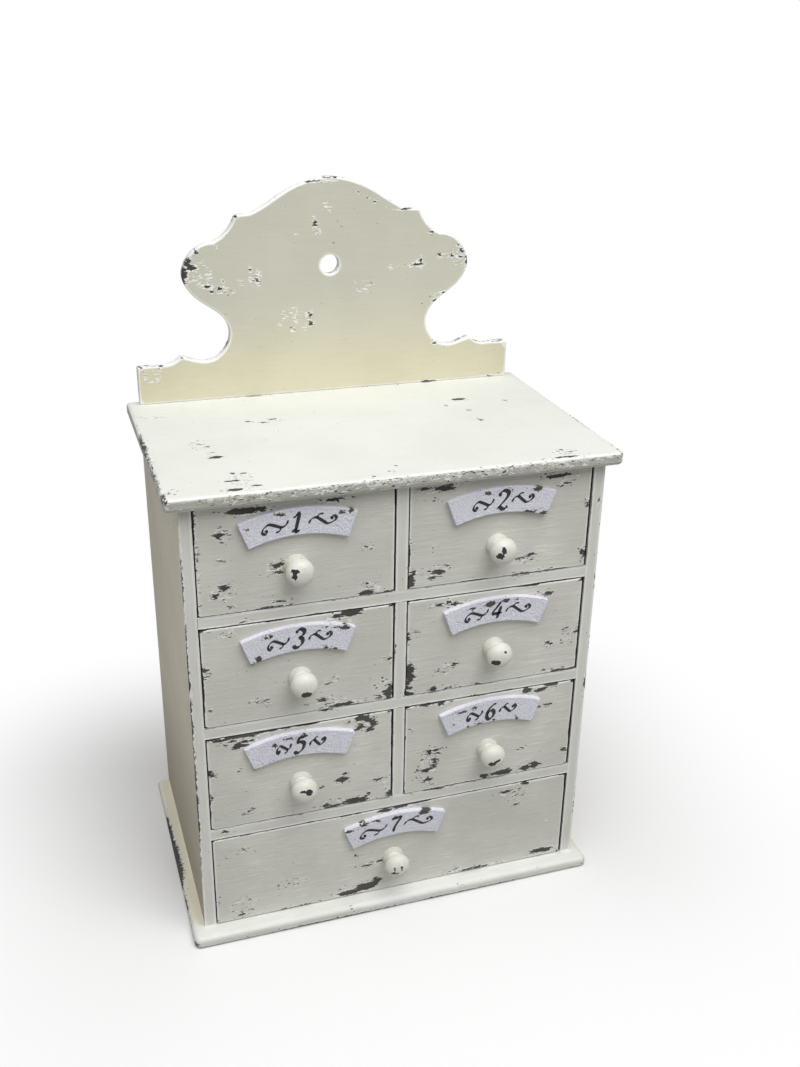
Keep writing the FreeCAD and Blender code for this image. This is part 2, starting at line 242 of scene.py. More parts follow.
@shader_group({"Position": zeros, "Grain": ones, "Shake": paint_shake}, {"Shift": tuple})
def flaking(r, given):
    grained = r.vector("MULTIPLY", given["Position"], given["Grain"])
    shaken = r.node("ShaderNodeTexNoise", {"Vector": grained, "Scale": shake_scale,
                                          "Detail": 4.0, "Roughness": 0.72})
    shake = r.vector("SUBTRACT", shaken.outputs["Color"], (0.5, 0.5, 0.5))
    torn = r.vector("ADD", grained, r.vector("MULTIPLY", shake, given["Shake"]))
    cells = r.node("ShaderNodeTexVoronoi", {"Vector": torn, "Scale": plate_scale})
    pull = r.vector("SUBTRACT", cells.outputs["Position"], torn)
    plate = r.vector("ADD", torn, r.vector("MULTIPLY", pull, (plate_pull,) * 3))
    shift = r.vector("SUBTRACT", plate, grained)
    return {"Shift": r.vector("DIVIDE", shift, given["Grain"])}


# %% [markdown]
# ## Ragged paint
# What the chips and the worn edges open, and what lies round them. On the outline of a chip the
# paint lifts in a pale lip, a painted highlight on that lip. A few millimetres around it small
# flecks break out: dark ones, where the undercoat shows, and white ones, where only the topcoat
# went and the primer is left, which also serve as painted highlights on the relief. Near an edge
# the paint turns pale, partly rubbed and partly a painted highlight along the edge. A second
# field marks places that are flecked all over without a big chip. Widths are in millimetres
# here, because metres would bury them in zeros.


# %% Group: ragged paint
fleck_reach = 4.0
lip_width = 1.1
# Width of the pale edge band: rubbed paint, and a painted highlight along the edges.
rubbed_and_highlit_until, rubbed_and_highlit_fully = 2.2, 0.7


@shader_group({"Position": zeros, "Grain": ones, "Field": -1.0, "Flecked": -1.0,
               "Edge distance": 1.0, "Edge wear": 0.8 * mm, "Raggedness": 1.0, "Flecks": 1.0},
              {"Bare": float, "Primer": float, "Rubbed": float})
def ragged_paint(r, given):
    grained = r.vector("MULTIPLY", given["Position"], given["Grain"])
    chips, flecked, distance, wear = (
        r.multiply(given[name], 1 / mm)
        for name in ("Field", "Flecked", "Edge distance", "Edge wear"))
    wander = r.step(r.noise(given["Position"], 34.0, 1.0), 0.44, 0.72)
    edge = r.subtract(r.multiply_add(wear, wander, -0.30), distance)
    flake = r.noise(grained, 620.0, 3.0, 0.62)
    patch = r.noise(grained, 150.0, 1.0)
    tearing = r.multiply(r.subtract(flake, 0.5), 2.4)
    tearing = r.multiply_add(r.subtract(patch, 0.5), 1.4, tearing)
    ragged = r.multiply_add(tearing, given["Raggedness"], r.maximum(chips, edge))
    near = r.maximum(r.step(chips, -fleck_reach, -0.2), r.step(flecked, -1.0, 2.0))
    dots = r.noise(grained, 900.0, 1.0, 0.4, apart=7.0)
    limit = r.multiply_add(r.multiply(near, given["Flecks"]), -0.135, 0.80)
    small = r.step(r.subtract(dots, limit), -0.008, 0.008)
    specks = r.noise(grained, 700.0, 2.0, 0.6, apart=19.0)
    limit = r.multiply_add(near, -0.215, 0.79)
    primer = r.step(r.subtract(specks, limit), -0.01, 0.02)
    # The pale lip round a chip is a painted highlight.
    lip_highlight = r.multiply(r.step(ragged, -lip_width, -0.2), r.step(dots, 0.36, 0.48))
    return {"Bare": r.maximum(r.step(ragged, -0.08, 0.08), small),
            "Primer": r.maximum(primer, lip_highlight),
            "Rubbed": r.step(distance, rubbed_and_highlit_until, rubbed_and_highlit_fully)}


# %% [markdown]
# ## Brush marks
# Thick chalk paint keeps the bristles' furrows. They are noise whose frequency is low along the
# stroke and high across it. The same furrows serve twice: as relief, and as a faint tone that is
# painted shade in the furrows and painted light on the ridges. A second, slow noise stands for
# uneven coats, and where both are high the ridges get pale strokes, partly a nearly dry brush and
# partly a painted highlight.


# %% Group: brush marks
dull_until, bright_from = 0.36, 0.62


@shader_group({"Position": zeros, "Furrows": (30.0, 900.0, 900.0)},
              {"Tone": float, "Relief": float, "Dry": float})
def brush_marks(r, given):
    across = r.vector("MULTIPLY", given["Position"], given["Furrows"])
    furrows = r.noise(across, 1.0, 2.0, 0.6)
    broad = r.noise(across, 0.28, 1.0)
    cloud = r.noise(given["Position"], 16.0, 3.0, 0.55)
    grit = r.noise(given["Position"], 1300.0, 1.0)
    tone = r.add(r.multiply(furrows, 0.35), r.multiply(cloud, 0.65))
    relief = r.multiply_add(broad, 0.8, furrows)
    relief = r.multiply_add(grit, 0.8, relief)
    # Pale strokes on the ridges: dry brushing, and a painted highlight on the ridges.
    dry = r.multiply(r.step(furrows, 0.54, 0.66), r.step(cloud, 0.46, 0.62))
    return {"Tone": tone, "Relief": relief, "Dry": dry}


# %% [markdown]
# ## Timber grain
# The drawer boxes are bare inside. Softwood shows growth rings that a flat cut turns into long
# uneven bands, with fine dark pores along them. The bands are a sine of a noise that is slow
# along the board, and plywood gets the same group with bands of another wildness.


# %% Group: timber
@shader_group({"Position": zeros, "Bands": (6.0, 60.0, 60.0),
               "Pores": (60.0, 1600.0, 1600.0), "Wildness": 3.0}, {"Tone": float, "Relief": float})
def timber(r, given):
    swirl = r.noise(r.vector("MULTIPLY", given["Position"], given["Bands"]), 0.7, 2.0)
    rings = r.sine(r.multiply(r.multiply(swirl, given["Wildness"]), 14.0))
    rings = r.power(r.multiply_add(rings, 0.5, 0.5), 1.6)
    pores = r.noise(r.vector("MULTIPLY", given["Position"], given["Pores"]), 1.0, 2.0, 0.6)
    tone = r.add(r.multiply(rings, 0.55), r.multiply(pores, 0.45))
    return {"Tone": tone, "Relief": pores}


# %% [markdown]
# ## Colours
# Colours are linear reflectances, as light meets them, and not what a screen shows. The paint
# is a warm cream, the top board has had a whiter coat, and the undercoat is nearly black. A
# coat of paint is a pair of tones, the bright one first.

# %% Colours
cream = ((0.735, 0.727, 0.675, 1), (0.655, 0.647, 0.590, 1))
cream_warm = ((0.725, 0.690, 0.510, 1), (0.675, 0.642, 0.465, 1))
whitened = ((0.765, 0.775, 0.725, 1), (0.725, 0.735, 0.680, 1))
# The top board's front nose is darker: painted shade below its lit top face.
nose_painted_shade = ((0.480, 0.478, 0.425, 1), (0.425, 0.422, 0.370, 1))
# The base's side ledges are a bright warm cream: painted light where the sides shade them.
ledge_painted_light = ((0.880, 0.850, 0.690, 1), (0.830, 0.800, 0.640, 1))
frame_cream = ((0.780, 0.785, 0.735, 1), (0.705, 0.705, 0.650, 1))
side_cream = ((0.795, 0.740, 0.595, 1), (0.735, 0.680, 0.535, 1))
# The sides' dark tones are painted shade, low on the outer faces and towards the back.
side_painted_shade = ((0.423, 0.375, 0.280, 1), (0.391, 0.343, 0.252, 1))
# The crest's upper tones are greyer: painted shade above its paler foot.
crest_painted_shade = ((0.628, 0.618, 0.525, 1), (0.590, 0.580, 0.492, 1))
primer_white = (0.93, 0.93, 0.90, 1)
worn_white = (0.86, 0.86, 0.83, 1)
undercoat = (0.046, 0.042, 0.038, 1)
undercoat_pale = (0.085, 0.078, 0.070, 1)
pine_light = (0.66, 0.49, 0.29, 1)
pine_dark = (0.44, 0.28, 0.14, 1)
ply_light = (0.56, 0.42, 0.27, 1)
ply_dark = (0.38, 0.25, 0.14, 1)
lavender = (0.90, 0.90, 0.99, 1)
lavender_dull = (0.82, 0.82, 0.93, 1)
knob_cream = (0.79, 0.783, 0.715, 1)
knob_cream_dull = (0.73, 0.72, 0.635, 1)
knob_furrow_shade = (0.42, 0.40, 0.33, 1)
soot_black = (0.024, 0.022, 0.020, 1)
script_black = (0.012, 0.012, 0.014, 1)
zinc = (0.62, 0.61, 0.58, 1)
zinc_dull = (0.38, 0.37, 0.35, 1)
# The base board's near-white tones are painted light on its lit front.
pale_painted_light = (worn_white, whitened[0])


def along(axis):
    """Frequencies of every noise on a board whose grain runs along one axis, 0 for X."""
    def slow_along(slow, quick):
        return tuple(slow if i == axis else quick for i in range(3))

    return {"grain": slow_along(0.32, 1.0), "furrows": slow_along(55.0, 950.0),
            "bands": slow_along(5.0, 55.0), "pores": slow_along(50.0, 1500.0)}


along_x, along_y, along_z = map(along, range(3))
print("palette ready")

# %% [markdown]
# ## The painted board
# One function writes every painted board's material, because they differ only in their size,
# the way of their grain, the chips on them and how deep the brush reached. Three layers are
# mixed: bare timber, dark undercoat, cream topcoat. How deep a point lies behind the painted
# front decides which layer the brush left there, and the chips then open the topcoat.


# %% Material: painted board
undercoat_and_gap_shade_until, timber_from = 12.5 * mm, 13.5 * mm
undercoat_and_gap_shade_raggedness = 10.0 * mm


def new_material(name, seed=0.0):
    """A material, its recipe, the place on the object, and that place shifted by the seed, for
    noise that differs from board to board."""
    material = bpy.data.materials.new(name)
    material.use_nodes = True
    material.node_tree.nodes.clear()
    recipe = Recipe(material.node_tree)
    position = recipe.node("ShaderNodeTexCoord", {}).outputs["Object"]
    shifted = recipe.vector("ADD", position, (0.37 * seed, 0.61 * seed, 0.23 * seed))
    return material, recipe, position, shifted


def finish_surface(recipe, colour, roughness, relief, depth, **constants):
    """Ends a material with a bump and a Principled shader. depth is the relief's, in metres."""
    bump = recipe.node("ShaderNodeBump", {"Strength": 1.0, "Distance": depth, "Height": relief})
    inputs = {"Base Color": colour, "Roughness": roughness, "Normal": bump.outputs[0], **constants}
    shader = recipe.node("ShaderNodeBsdfPrincipled", inputs)
    recipe.node("ShaderNodeOutputMaterial", {"Surface": shader.outputs[0]})


def chip_field(recipe, position, chips):
    """Field of a list of chips, each (x, y, z, x radius, y radius, z radius) in metres."""
    field = -1.0
    for x, y, z, rx, ry, rz in chips:
        field = recipe.group(chip, position=position, centre=(x, y, z), radii=(rx, ry, rz),
                             smallest_radius=min(rx, ry, rz), field=field)["Field"]
    return field


def painted_board(name, corners, way, coats, chips=(), areas=(), seed=0.0, wear=0.8 * mm,
                  flecks=1.0, torn=0.75, shake=paint_shake, brush=0.24 * mm, primer=primer_white,
                  dry=0.0, reach=None, topcoat=2.0 * mm, edge=None):
    """A board's material. way is the way of its grain, and coats a list of tone pairs, each with
    a function that gives its share from the recipe and the three axes, None for all of it.
    chips and areas are what chip_field takes. reach, where given, is such a function for the
    depth behind the painted side, and topcoat the depth that the cream reaches. edge, where
    given, names a distance attribute."""
    material, r, position, shifted = new_material(name, seed)
    if edge:
        distance = r.node("ShaderNodeAttribute", {}, attribute_name=edge).outputs["Fac"]
    else:
        distance = r.group(board_edge, position=position, low_corner=tuple(corners[0]),
                           high_corner=tuple(corners[1]))["Edge distance"]
    shift = r.group(flaking, position=shifted, grain=way["grain"], shake=shake)["Shift"]
    layers = r.group(ragged_paint, position=shifted, grain=way["grain"],
                     field=chip_field(r, r.vector("ADD", position, shift), chips),
                     flecked=chip_field(r, position, areas), edge_distance=distance,
                     edge_wear=wear, flecks=flecks, raggedness=torn)
    marks = r.group(brush_marks, position=shifted, furrows=way["furrows"])
    uneven = r.step(marks["Tone"], dull_until, bright_from)
    top = None
    for share, (bright, dull) in coats:
        tone = r.mix(uneven, dull, bright)
        top = r.mix(share(r, *r.axes(position)), top, tone) if share else tone
    # Near the edges the coat turns primer white: rubbed paint and a painted highlight.
    top = r.mix(r.multiply(layers["Rubbed"], 0.8), top, primer)
    top = r.mix(r.multiply(marks["Dry"], dry), top, primer)
    # White flecks: primer, and painted highlights on the paint's relief.
    top = r.mix(layers["Primer"], top, primer)
    under = r.mix(r.step(marks["Tone"], 0.4, 0.6), undercoat, undercoat_pale)
    colour = r.mix(layers["Bare"], top, under)
    painted = r.subtract(1.0, layers["Bare"])
    relief = r.multiply_add(painted, 2.0, marks["Relief"])
    relief = r.multiply_add(layers["Primer"], 0.8, relief)
    roughness = r.multiply_add(layers["Bare"], 0.12, 0.58)
    if reach:
        depth = reach(r, *r.axes(position))
        brush_end = r.subtract(r.noise(shifted, 260.0, 3.0, 0.6), 0.5)
        wood = r.group(timber, position=shifted, bands=way["bands"], pores=way["pores"],
                       wildness=2.2)
        raw = r.mix(wood["Tone"], pine_light, pine_dark)
        end = r.multiply_add(brush_end, undercoat_and_gap_shade_raggedness, depth)
        # The dark undercoat band behind the painted front is also painted shade in the gaps round the
        # drawers.
        inside = r.mix(r.step(end, undercoat_and_gap_shade_until, timber_from), under, raw)
        end = r.multiply_add(brush_end, topcoat, depth)
        is_top = r.step(end, 1.1 * topcoat, 0.9 * topcoat)
        colour = r.mix(is_top, inside, colour)
        relief = r.multiply_add(is_top, 1.5, relief)
    finish_surface(r, colour, roughness, relief, brush)
    return material


def dress(node, material):
    for material_slot in nodes[node].material_slots:
        material_slot.material = material


def paint(node, *looks, **more):
    """Gives a node of the frame a painted board's material of its own."""
    dress(node, painted_board(node + "_paint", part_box(node), *looks, **more))


def in_metres(rows):
    return [tuple(value * mm for value in row) for row in rows]


def behind_front(r, x, y, z):
    """Depth behind the plane of the carcass's front edges."""
    return r.subtract(y, front_y)


front_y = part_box("side_panel_left")[0].y
front = round(front_y / mm, 2)
print("painted board ready, front plane at y =", front, "mm")

# %% [markdown]
# ## The top board
# Its front edge has lost paint in long streaks along the grain, and small chips lie in groups
# on its face. Noise can't put a group in its place, so they are listed in millimetres: X and Y
# of the centre and two radii.

# %% Top board
top_chips = [
    (-65.6, 37.8, 4.5, 1.2), (-83.7, 37.1, 1.6, 0.8), (-73, 31.9, 2.2, 1.3), (-67.8, 9, 1.1, 0.8),
    (-129.2, -4.2, 1.6, 1.4), (-124, -11, 1.4, 1), (-121.2, -33.8, 4.6, 2.6), (-121.5, -24, 1, 0.8),
    (-116.5, -68.8, 1.8, 2), (-108, -69.8, 2.4, 1.5), (-118.6, -82.1, 5.5, 1.5),
    (-119.7, -98, 5.5, 2), (-104.8, -94.2, 3.4, 1.3), (-23.3, -100, 1.6, 1),
    (-10.6, -93.7, 1.5, 0.8), (-2.8, -85, 0.9, 0.9), (-112, -106.8, 20, 0.9),
    (-64, -106.8, 26, 1.2), (-18, -106.6, 24, 1.3), (25, -106.8, 26, 1.2), (70, -106.8, 26, 1.4),
    (112, -106.8, 22, 1.2), (147, -107, 18, 0.9), (120.7, -101.5, 9, 1.2), (126, -86.8, 2.2, 1.1),
    (130.3, -92, 2, 1), (94.3, 46.7, 5.2, 3), (93.2, 17, 1.6, 0.8), (92.8, -3.9, 1.5, 1),
    (92.8, -8.6, 1.4, 1.1), (79.4, 34, 0.9, 1.1), (131.3, 33.5, 0.8, 1.2), (-150.8, 64, 1.1, 1),
    (-162.7, 70, 0.8, 0.8), (-168.5, 5, 1.6, 26), (-163, -93, 1, 1.6), (-160, -86.5, 1.4, 0.8),
    (-168.4, -48, 0.8, 34), (-167.4, -99, 1.4, 9), (167.6, -28, 1.6, 13), (168, -95, 0.9, 12),
    (86, 99, 6, 0.7), (-68, 98.9, 12, 0.7),
]
top_flecked = [
    (-129, -4, 9, 16), (-113, -82, 13, 16), (-160, -92, 8, 9), (-68, 34, 18, 6), (96, 45, 9, 5),
    (124, -92, 12, 7), (-152, 66, 14, 6), (0, 99, 120, 2), (0, -106, 150, 1.8),
]
low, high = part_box("top_board")


def below_top_face(r, x, y, z):
    """Share of the nose's painted shade, a darker tone from the rounding of the rim downwards."""
    return r.step(z, high.z - 1.0 * mm, high.z - 1.8 * mm)


def on_top_face(places):
    return [(x * mm, y * mm, high.z, rx * mm, ry * mm, 5 * mm) for x, y, rx, ry in places]


# Below the rim the nose gets darker tones: painted shade.
paint("top_board", along_x, [(None, whitened), (below_top_face, nose_painted_shade)],
      on_top_face(top_chips), on_top_face(top_flecked), seed=1.0, wear=0.3 * mm, torn=0.6,
      shake=3.0 * mm, brush=0.14 * mm, primer=worn_white)
print("top board:", len(top_chips), "chips")

# %% [markdown]
# ## The base board
# Its rounded edge is near white all along, a painted highlight, and the ledges beside the sides
# are a bright warm cream, painted light where the sides shade them. It has one long dark chip on
# the left. The underside is bare timber: the paint's reach ends just above it, so no second
# material is needed.

# %% Base board
base_chips = [
    (-169, -8, 6, 4.4, 36, 5), (-169, 32, 6.5, 2.6, 24, 3.6), (-168.6, -62, 6, 1, 12, 1.4),
    (-167.5, -106, 4.2, 2, 2, 2.2), (-60, -108.6, 0.8, 60, 1, 0.9), (60, -108.6, 0.6, 50, 1, 0.8),
    (-40, -107, 6.6, 1.2, 1, 0.8), (54, -107.2, 6.4, 1.4, 1, 0.9), (166, -106, 3, 1.5, 1.5, 3),
]


paint_foot = 0.4 * mm
foot_steepness = 60.0


def above_underside(r, x, y, z):
    """Depth below the foot of the paint, stretched so that the underside itself is bare."""
    return r.multiply(r.subtract(paint_foot, z), foot_steepness)


def behind_drawers(r, x, y, z):
    """Share of the ledges' painted light, bright warm cream: none along the front, all of it along the
    sides.
    """
    return r.step(y, -96 * mm, -80 * mm)


paint("base_board", along_x, [(None, pale_painted_light), (behind_drawers, ledge_painted_light)],
      in_metres(base_chips), seed=2.0, wear=0.6 * mm, torn=0.5, shake=2.0 * mm,
      primer=worn_white, reach=above_underside)
print("base board:", len(base_chips), "chips")

# %% [markdown]
# ## Sides, shelves and divider
# Together their front edges make the grid that the drawers sit in. Topcoat only covers what
# shows: the outsides and the front edges. Behind them comes a band of dark undercoat, which also
# serves as painted shade in the gaps round the drawers, and then bare timber. The outer front
# edges of the sides have worn to a thin dark line. Chips are centre and radii in millimetres,
# along X, Y and Z.

# %% Carcass
outer_x = max(abs(corner.x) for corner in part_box("side_panel_left"))


def outside_or_front(r, x, y, z):
    """Depth behind the front edge or below the outer face of a side panel, whichever is less."""
    below_face = r.subtract(outer_x, r.absolute(x))
    return r.minimum(behind_front(r, x, y, z), below_face)


def outer_face(r, x, y, z):
    """Share of the side's own tones: all of it behind the front edge."""
    return r.step(behind_front(r, x, y, z), 0.8 * mm, 2.5 * mm)


# The outer faces darken towards the foot and the back: painted shade.
shade_from, shade_fully = 260 * mm, 10 * mm
shade_at_back = 0.45


def towards_foot(r, x, y, z):
    """Share of the painted shade, darker tones growing down the outer face of a side and towards its
    back.
    """
    low_down = r.step(z, shade_from, shade_fully)
    towards_back = r.step(y, -100 * mm, 110 * mm, 0.0, shade_at_back)
    share = r.maximum(low_down, towards_back)
    return r.multiply(share, outer_face(r, x, y, z))


edge_chips = {
    "side_panel_left": [
        (-159, front, 315, 0.6, 0.7, 26), (-159, front, 240, 0.8, 1, 60),
        (-159, front, 175, 1, 1.1, 40), (-159, front, 128, 1.2, 1.3, 40),
        (-159, front, 78, 0.6, 0.8, 18), (-159, -70, 352, 1, 4, 1.2), (-159, -40, 338, 1, 3, 1)],
    "side_panel_right": [
        (159, front, 214, 1, 1, 9), (159, front, 180, 0.8, 0.8, 7),
        (159, front, 268, 0.5, 0.5, 8), (156, front, 338, 0.7, 1, 2.2),
        (159, front, 60, 0.5, 0.5, 12), (159, 0, 200, 1, 6, 3)],
}
side_coats = [(None, frame_cream), (outer_face, side_cream), (towards_foot, side_painted_shade)]
for seed, (node, chips) in enumerate(edge_chips.items(), 3):
    paint(node, along_z, side_coats, in_metres(chips), seed=float(seed), wear=0.4 * mm,
          flecks=0.25, torn=0.5, reach=outside_or_front)
shelf_chips = {
    "shelf_upper": [(-118, front, 277.5, 3, 1, 0.9), (96, front, 285, 7, 1, 0.7)],
    "shelf_middle": [(-60, front, 193, 6, 1, 0.7), (60, front, 184, 5, 1, 0.6)],
    "shelf_lower": [(-138, front, 98, 2.2, 1, 1.6), (30, front, 101, 8, 1, 0.7)],
    "centre_divider": [(4.5, front, 195.5, 1.4, 1, 2.2), (-4.5, front, 236, 0.8, 1, 4)],
}
for seed, (node, chips) in enumerate(shelf_chips.items(), 5):
    way = along_z if node == "centre_divider" else along_x
    paint(node, way, [(None, frame_cream)], in_metres(chips), seed=float(seed),
          wear=0.5 * mm, flecks=0.5, reach=behind_front)
print("carcass:", len(edge_chips) + len(shelf_chips), "boards painted")

# %% [markdown]
# ## Drawer fronts
# Each front has its own chips, listed in millimetres from its lower left corner: X and Z of
# the centre and two radii. Big losses sit along the top and bottom edges, and small ones below
# the labels and beside the knobs. No two fronts are worn alike, so the table is long.

# %% Drawer fronts
front_chips = {
    "drawer_1": [
        (35.9, 77.4, 14.3, 2.4), (97.9, 78.5, 6.9, 1.1), (16.8, 61, 3, 2.4),
        (20.6, 64.6, 1.4, 0.8), (58.1, 33.3, 3.7, 1.9), (57.3, 28, 3, 1.4),
        (19.5, 21.6, 4.2, 2.6), (12.8, 15.1, 2.6, 2.1), (19, 12.4, 1.6, 0.9), (24, 5, 1.4, 1),
        (59.4, 4.2, 3.2, 0.8), (48, 0.5, 11, 1.1), (121.7, 2, 6.9, 2.1), (137.6, 0.7, 6.4, 1.1),
        (123.3, 9.6, 1.9, 1), (122.2, 39.3, 1.3, 1), (17.4, 42, 1.1, 0.8), (0, 48, 0.5, 14)],
    "drawer_2": [
        (11.6, 78.8, 3.2, 0.8), (26.5, 77.9, 10, 2.1), (116, 77.9, 10.6, 1.9),
        (123, 71.6, 2.6, 0.7), (118, 70.4, 1.2, 0.8), (20.1, 68.9, 1.4, 0.6),
        (2.3, 7.5, 3.7, 6.4), (22.8, 11, 5, 2.2), (31.5, 15.6, 1.4, 0.9), (18, 7, 1.5, 0.9),
        (95.8, 15.7, 3.2, 1.4), (86.1, 13.6, 1.9, 1.3), (141.9, 52, 1, 2.9),
        (141.4, 10.7, 1.6, 4.8), (91.1, 1, 4.2, 0.7), (110.7, 1, 2.6, 0.8), (0.5, 34, 1, 2),
        (19.3, 32, 0.7, 0.8)],
    "drawer_3": [
        (110, 79.4, 7.2, 3), (99.4, 78.4, 3, 1.5), (22.7, 77.3, 0.8, 1.3), (1.5, 49.2, 2.2, 1.8),
        (4.7, 44.5, 1.3, 1.2), (0, 46, 0.9, 5), (5.2, 14.8, 0.8, 0.8), (39, 15.9, 2, 0.9),
        (46.5, 15, 1.2, 2.2), (96.8, 27, 1.3, 0.8), (92, 22.2, 1.1, 0.6), (89.4, 9, 3, 1.2),
        (77, 6.4, 0.9, 0.8), (104, 2.4, 10.5, 1.7), (141.3, 37, 1.5, 1.8), (140.6, 6.5, 4, 7.6),
        (132, 3.7, 2.2, 1.9), (135.2, 20.5, 0.7, 0.7)],
    "drawer_4": [
        (24.4, 75.4, 3, 0.9), (31.2, 76.8, 2.7, 1.6), (38, 74.7, 3.4, 1.1),
        (49.8, 74.3, 1.3, 0.9), (6.9, 55, 0.7, 1), (0, 50.8, 1.9, 5), (1.6, 20.1, 4.4, 8.5),
        (0.6, 10.4, 2.6, 5), (2.1, 2.1, 3.6, 1.8), (22.2, 3, 2.6, 1.8), (35, 1.6, 4.5, 1),
        (58.8, 0.5, 2.7, 1), (31.8, 20.7, 1.8, 1), (38.1, 22, 2.3, 1.5), (29, 16, 2, 0.5),
        (114.4, 72.5, 4.2, 1.6), (106.4, 75.7, 0.9, 0.5), (118.6, 27.7, 2.7, 2.2),
        (131.3, 38.4, 0.8, 0.8), (142, 37, 0.9, 3.5), (115, 4, 1.3, 0.6), (128, 1.4, 7.2, 1.2),
        (141, 0.7, 3.6, 1.6)],
    "drawer_5": [
        (20, 80.6, 18, 1.3), (19.5, 77.6, 4, 1), (29.5, 75.5, 2.2, 1.2), (36, 76, 2.2, 0.8),
        (23.7, 72.9, 4.6, 2.4), (29.5, 71.8, 3, 1), (107.9, 77.3, 0.9, 0.9),
        (116.4, 79.2, 5.4, 2.3), (124.3, 78, 3.6, 3.2), (128.6, 73.9, 3.3, 3.6),
        (125.4, 68.1, 3.6, 2.3), (116.4, 70.7, 2.8, 2.8), (1, 51.9, 3.4, 3.4),
        (24.8, 50.3, 1.3, 0.8), (0, 29, 0.9, 4), (0, 15.7, 0.9, 4), (31.1, 12.2, 2.1, 1.2),
        (26, 10.4, 1.2, 0.9), (103.7, 25.7, 4.3, 2.8), (106.3, 30.8, 1.9, 1.2),
        (87.3, 22, 1.4, 0.8), (132.3, 19.7, 2.8, 1.1), (113.2, 3.3, 11.5, 2.3),
        (122.7, 6.7, 1.7, 2.7), (89.9, 4.6, 1.7, 2.2), (96, 1.7, 8.5, 1.1), (142, 4, 2, 3.6)],
    "drawer_6": [
        (22, 81.5, 12, 1.4), (29.7, 80.3, 2.2, 2.4), (102.2, 79.2, 3.6, 3),
        (113.3, 77.9, 5.6, 1.7), (122.3, 81.2, 7, 1.6), (121.3, 62.5, 2.7, 1),
        (114.4, 62, 1.1, 1.2), (5.8, 60.4, 0.6, 0.6), (19.9, 36.9, 2.8, 2.2),
        (26.3, 38.1, 2.7, 0.9), (28, 34, 2.1, 1.4), (20.3, 32.6, 1.4, 0.7),
        (19.6, 26.5, 0.9, 1.1), (26.3, 26.3, 1.8, 3.6), (18, 19.4, 4.6, 2), (23.8, 22, 2.7, 2),
        (10.6, 20.8, 1.1, 1.4), (20.7, 9.8, 4.3, 1.8), (9.8, 13.3, 0.9, 0.8), (100.6, 25, 2.4, 1),
        (140.6, 15.1, 1.8, 2.6), (68.8, 3, 3.7, 1.7), (85.2, 3.8, 10.4, 2.5),
        (105.9, 4, 4.2, 2.5), (113.3, 5.4, 4, 3.3)],
    "drawer_7": [
        (138.5, 79.8, 4.6, 2), (150.8, 80.9, 8, 1.5), (244.3, 75.5, 4.6, 1.2),
        (260.2, 80.2, 3.2, 2), (257.6, 68, 1.6, 0.8), (255.8, 60.4, 1.4, 0.7), (284, 36, 1.1, 1),
        (280.5, 5.8, 10, 2.6), (134, 30, 2.3, 0.9), (126, 28.2, 4.2, 0.6), (131.5, 9.7, 4, 4.6),
        (123.4, 6.9, 8, 3.6), (109.3, 3.6, 9.6, 2.6), (60, 0.5, 14.5, 0.9), (218.8, 2, 13, 1),
        (203, 5.3, 1.6, 0.6), (21, 4.4, 2.6, 1), (29, 7.6, 0.8, 0.8), (25, 68.3, 0.7, 1),
        (0, 23, 0.9, 3), (116.4, 39.7, 0.5, 1)],
}
print("drawer fronts:", sum(map(len, front_chips.values())), "chips listed")

# %% [markdown]
# ## Flecked places on the fronts
# Round the bigger losses the paint is flecked over a wider area. Those areas are listed like
# the chips, but only small flecks break out there.

# %% Flecked places, and the paint of the fronts
front_flecked = {
    "drawer_1": [
        (20, 61, 9, 8), (52, 30, 11, 8), (18, 17, 12, 9), (125, 5, 12, 5), (124, 38, 6, 5),
        (40, 77, 26, 4)],
    "drawer_2": [
        (122, 72, 8, 4), (20, 69, 6, 3), (94, 12, 10, 7), (20, 12, 14, 8), (141, 12, 4, 9)],
    "drawer_3": [
        (40, 16, 11, 5), (136, 38, 5, 4), (135, 13, 6, 9), (95, 25, 8, 6), (104, 76, 22, 5),
        (20, 76, 14, 4), (96, 6, 16, 5), (3, 47, 5, 6)],
    "drawer_4": [
        (32, 19, 12, 7), (110, 73, 12, 4), (118, 28, 6, 5), (36, 75, 18, 4), (134, 30, 8, 12),
        (4, 20, 6, 14)],
    "drawer_5": [
        (27, 75, 22, 6), (139, 15, 4, 9), (122, 74, 13, 9), (29, 11, 8, 3), (105, 27, 8, 7),
        (104, 5, 22, 5), (133, 20, 7, 3)],
    "drawer_6": [
        (21, 28, 11, 17), (24, 4, 5, 4), (118, 62, 9, 4), (108, 79, 16, 5), (96, 5, 26, 5),
        (26, 80, 14, 4), (140, 14, 4, 6)],
    "drawer_7": [
        (108, 8, 12, 6), (203, 5, 6, 3), (20, 65, 16, 4), (22, 14, 16, 9), (60, 26, 14, 6),
        (146, 80, 16, 4), (250, 72, 16, 8), (278, 6, 12, 5), (126, 28, 12, 4)],
}


def on_front(corner, places):
    return [(corner.x + x * mm, corner.y, corner.z + z * mm, rx * mm, 5 * mm, rz * mm)
            for x, z, rx, rz in places]


corner_wear = 2.2
for seed, (drawer, chips) in enumerate(front_chips.items(), 11):
    low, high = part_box(drawer + "_front")
    width, height = (high.x - low.x) / mm, (high.z - low.z) / mm
    corners = [(x, z, corner_wear, corner_wear) for x in (0.0, width) for z in (0.0, height)]
    # The fronts' cream stops 0.6 mm behind the face, so their edges in the gaps are dark: painted
    # shade.
    paint(drawer + "_front", along_x, [(None, cream)], on_front(low, chips + corners),
          on_front(low, front_flecked[drawer]), seed=float(seed), wear=1.4 * mm, torn=0.7,
          dry=0.55, reach=behind_front, topcoat=0.6 * mm)
print("drawer fronts:", len(front_chips), "painted,", sum(map(len, front_flecked.values())),
      "flecked places")

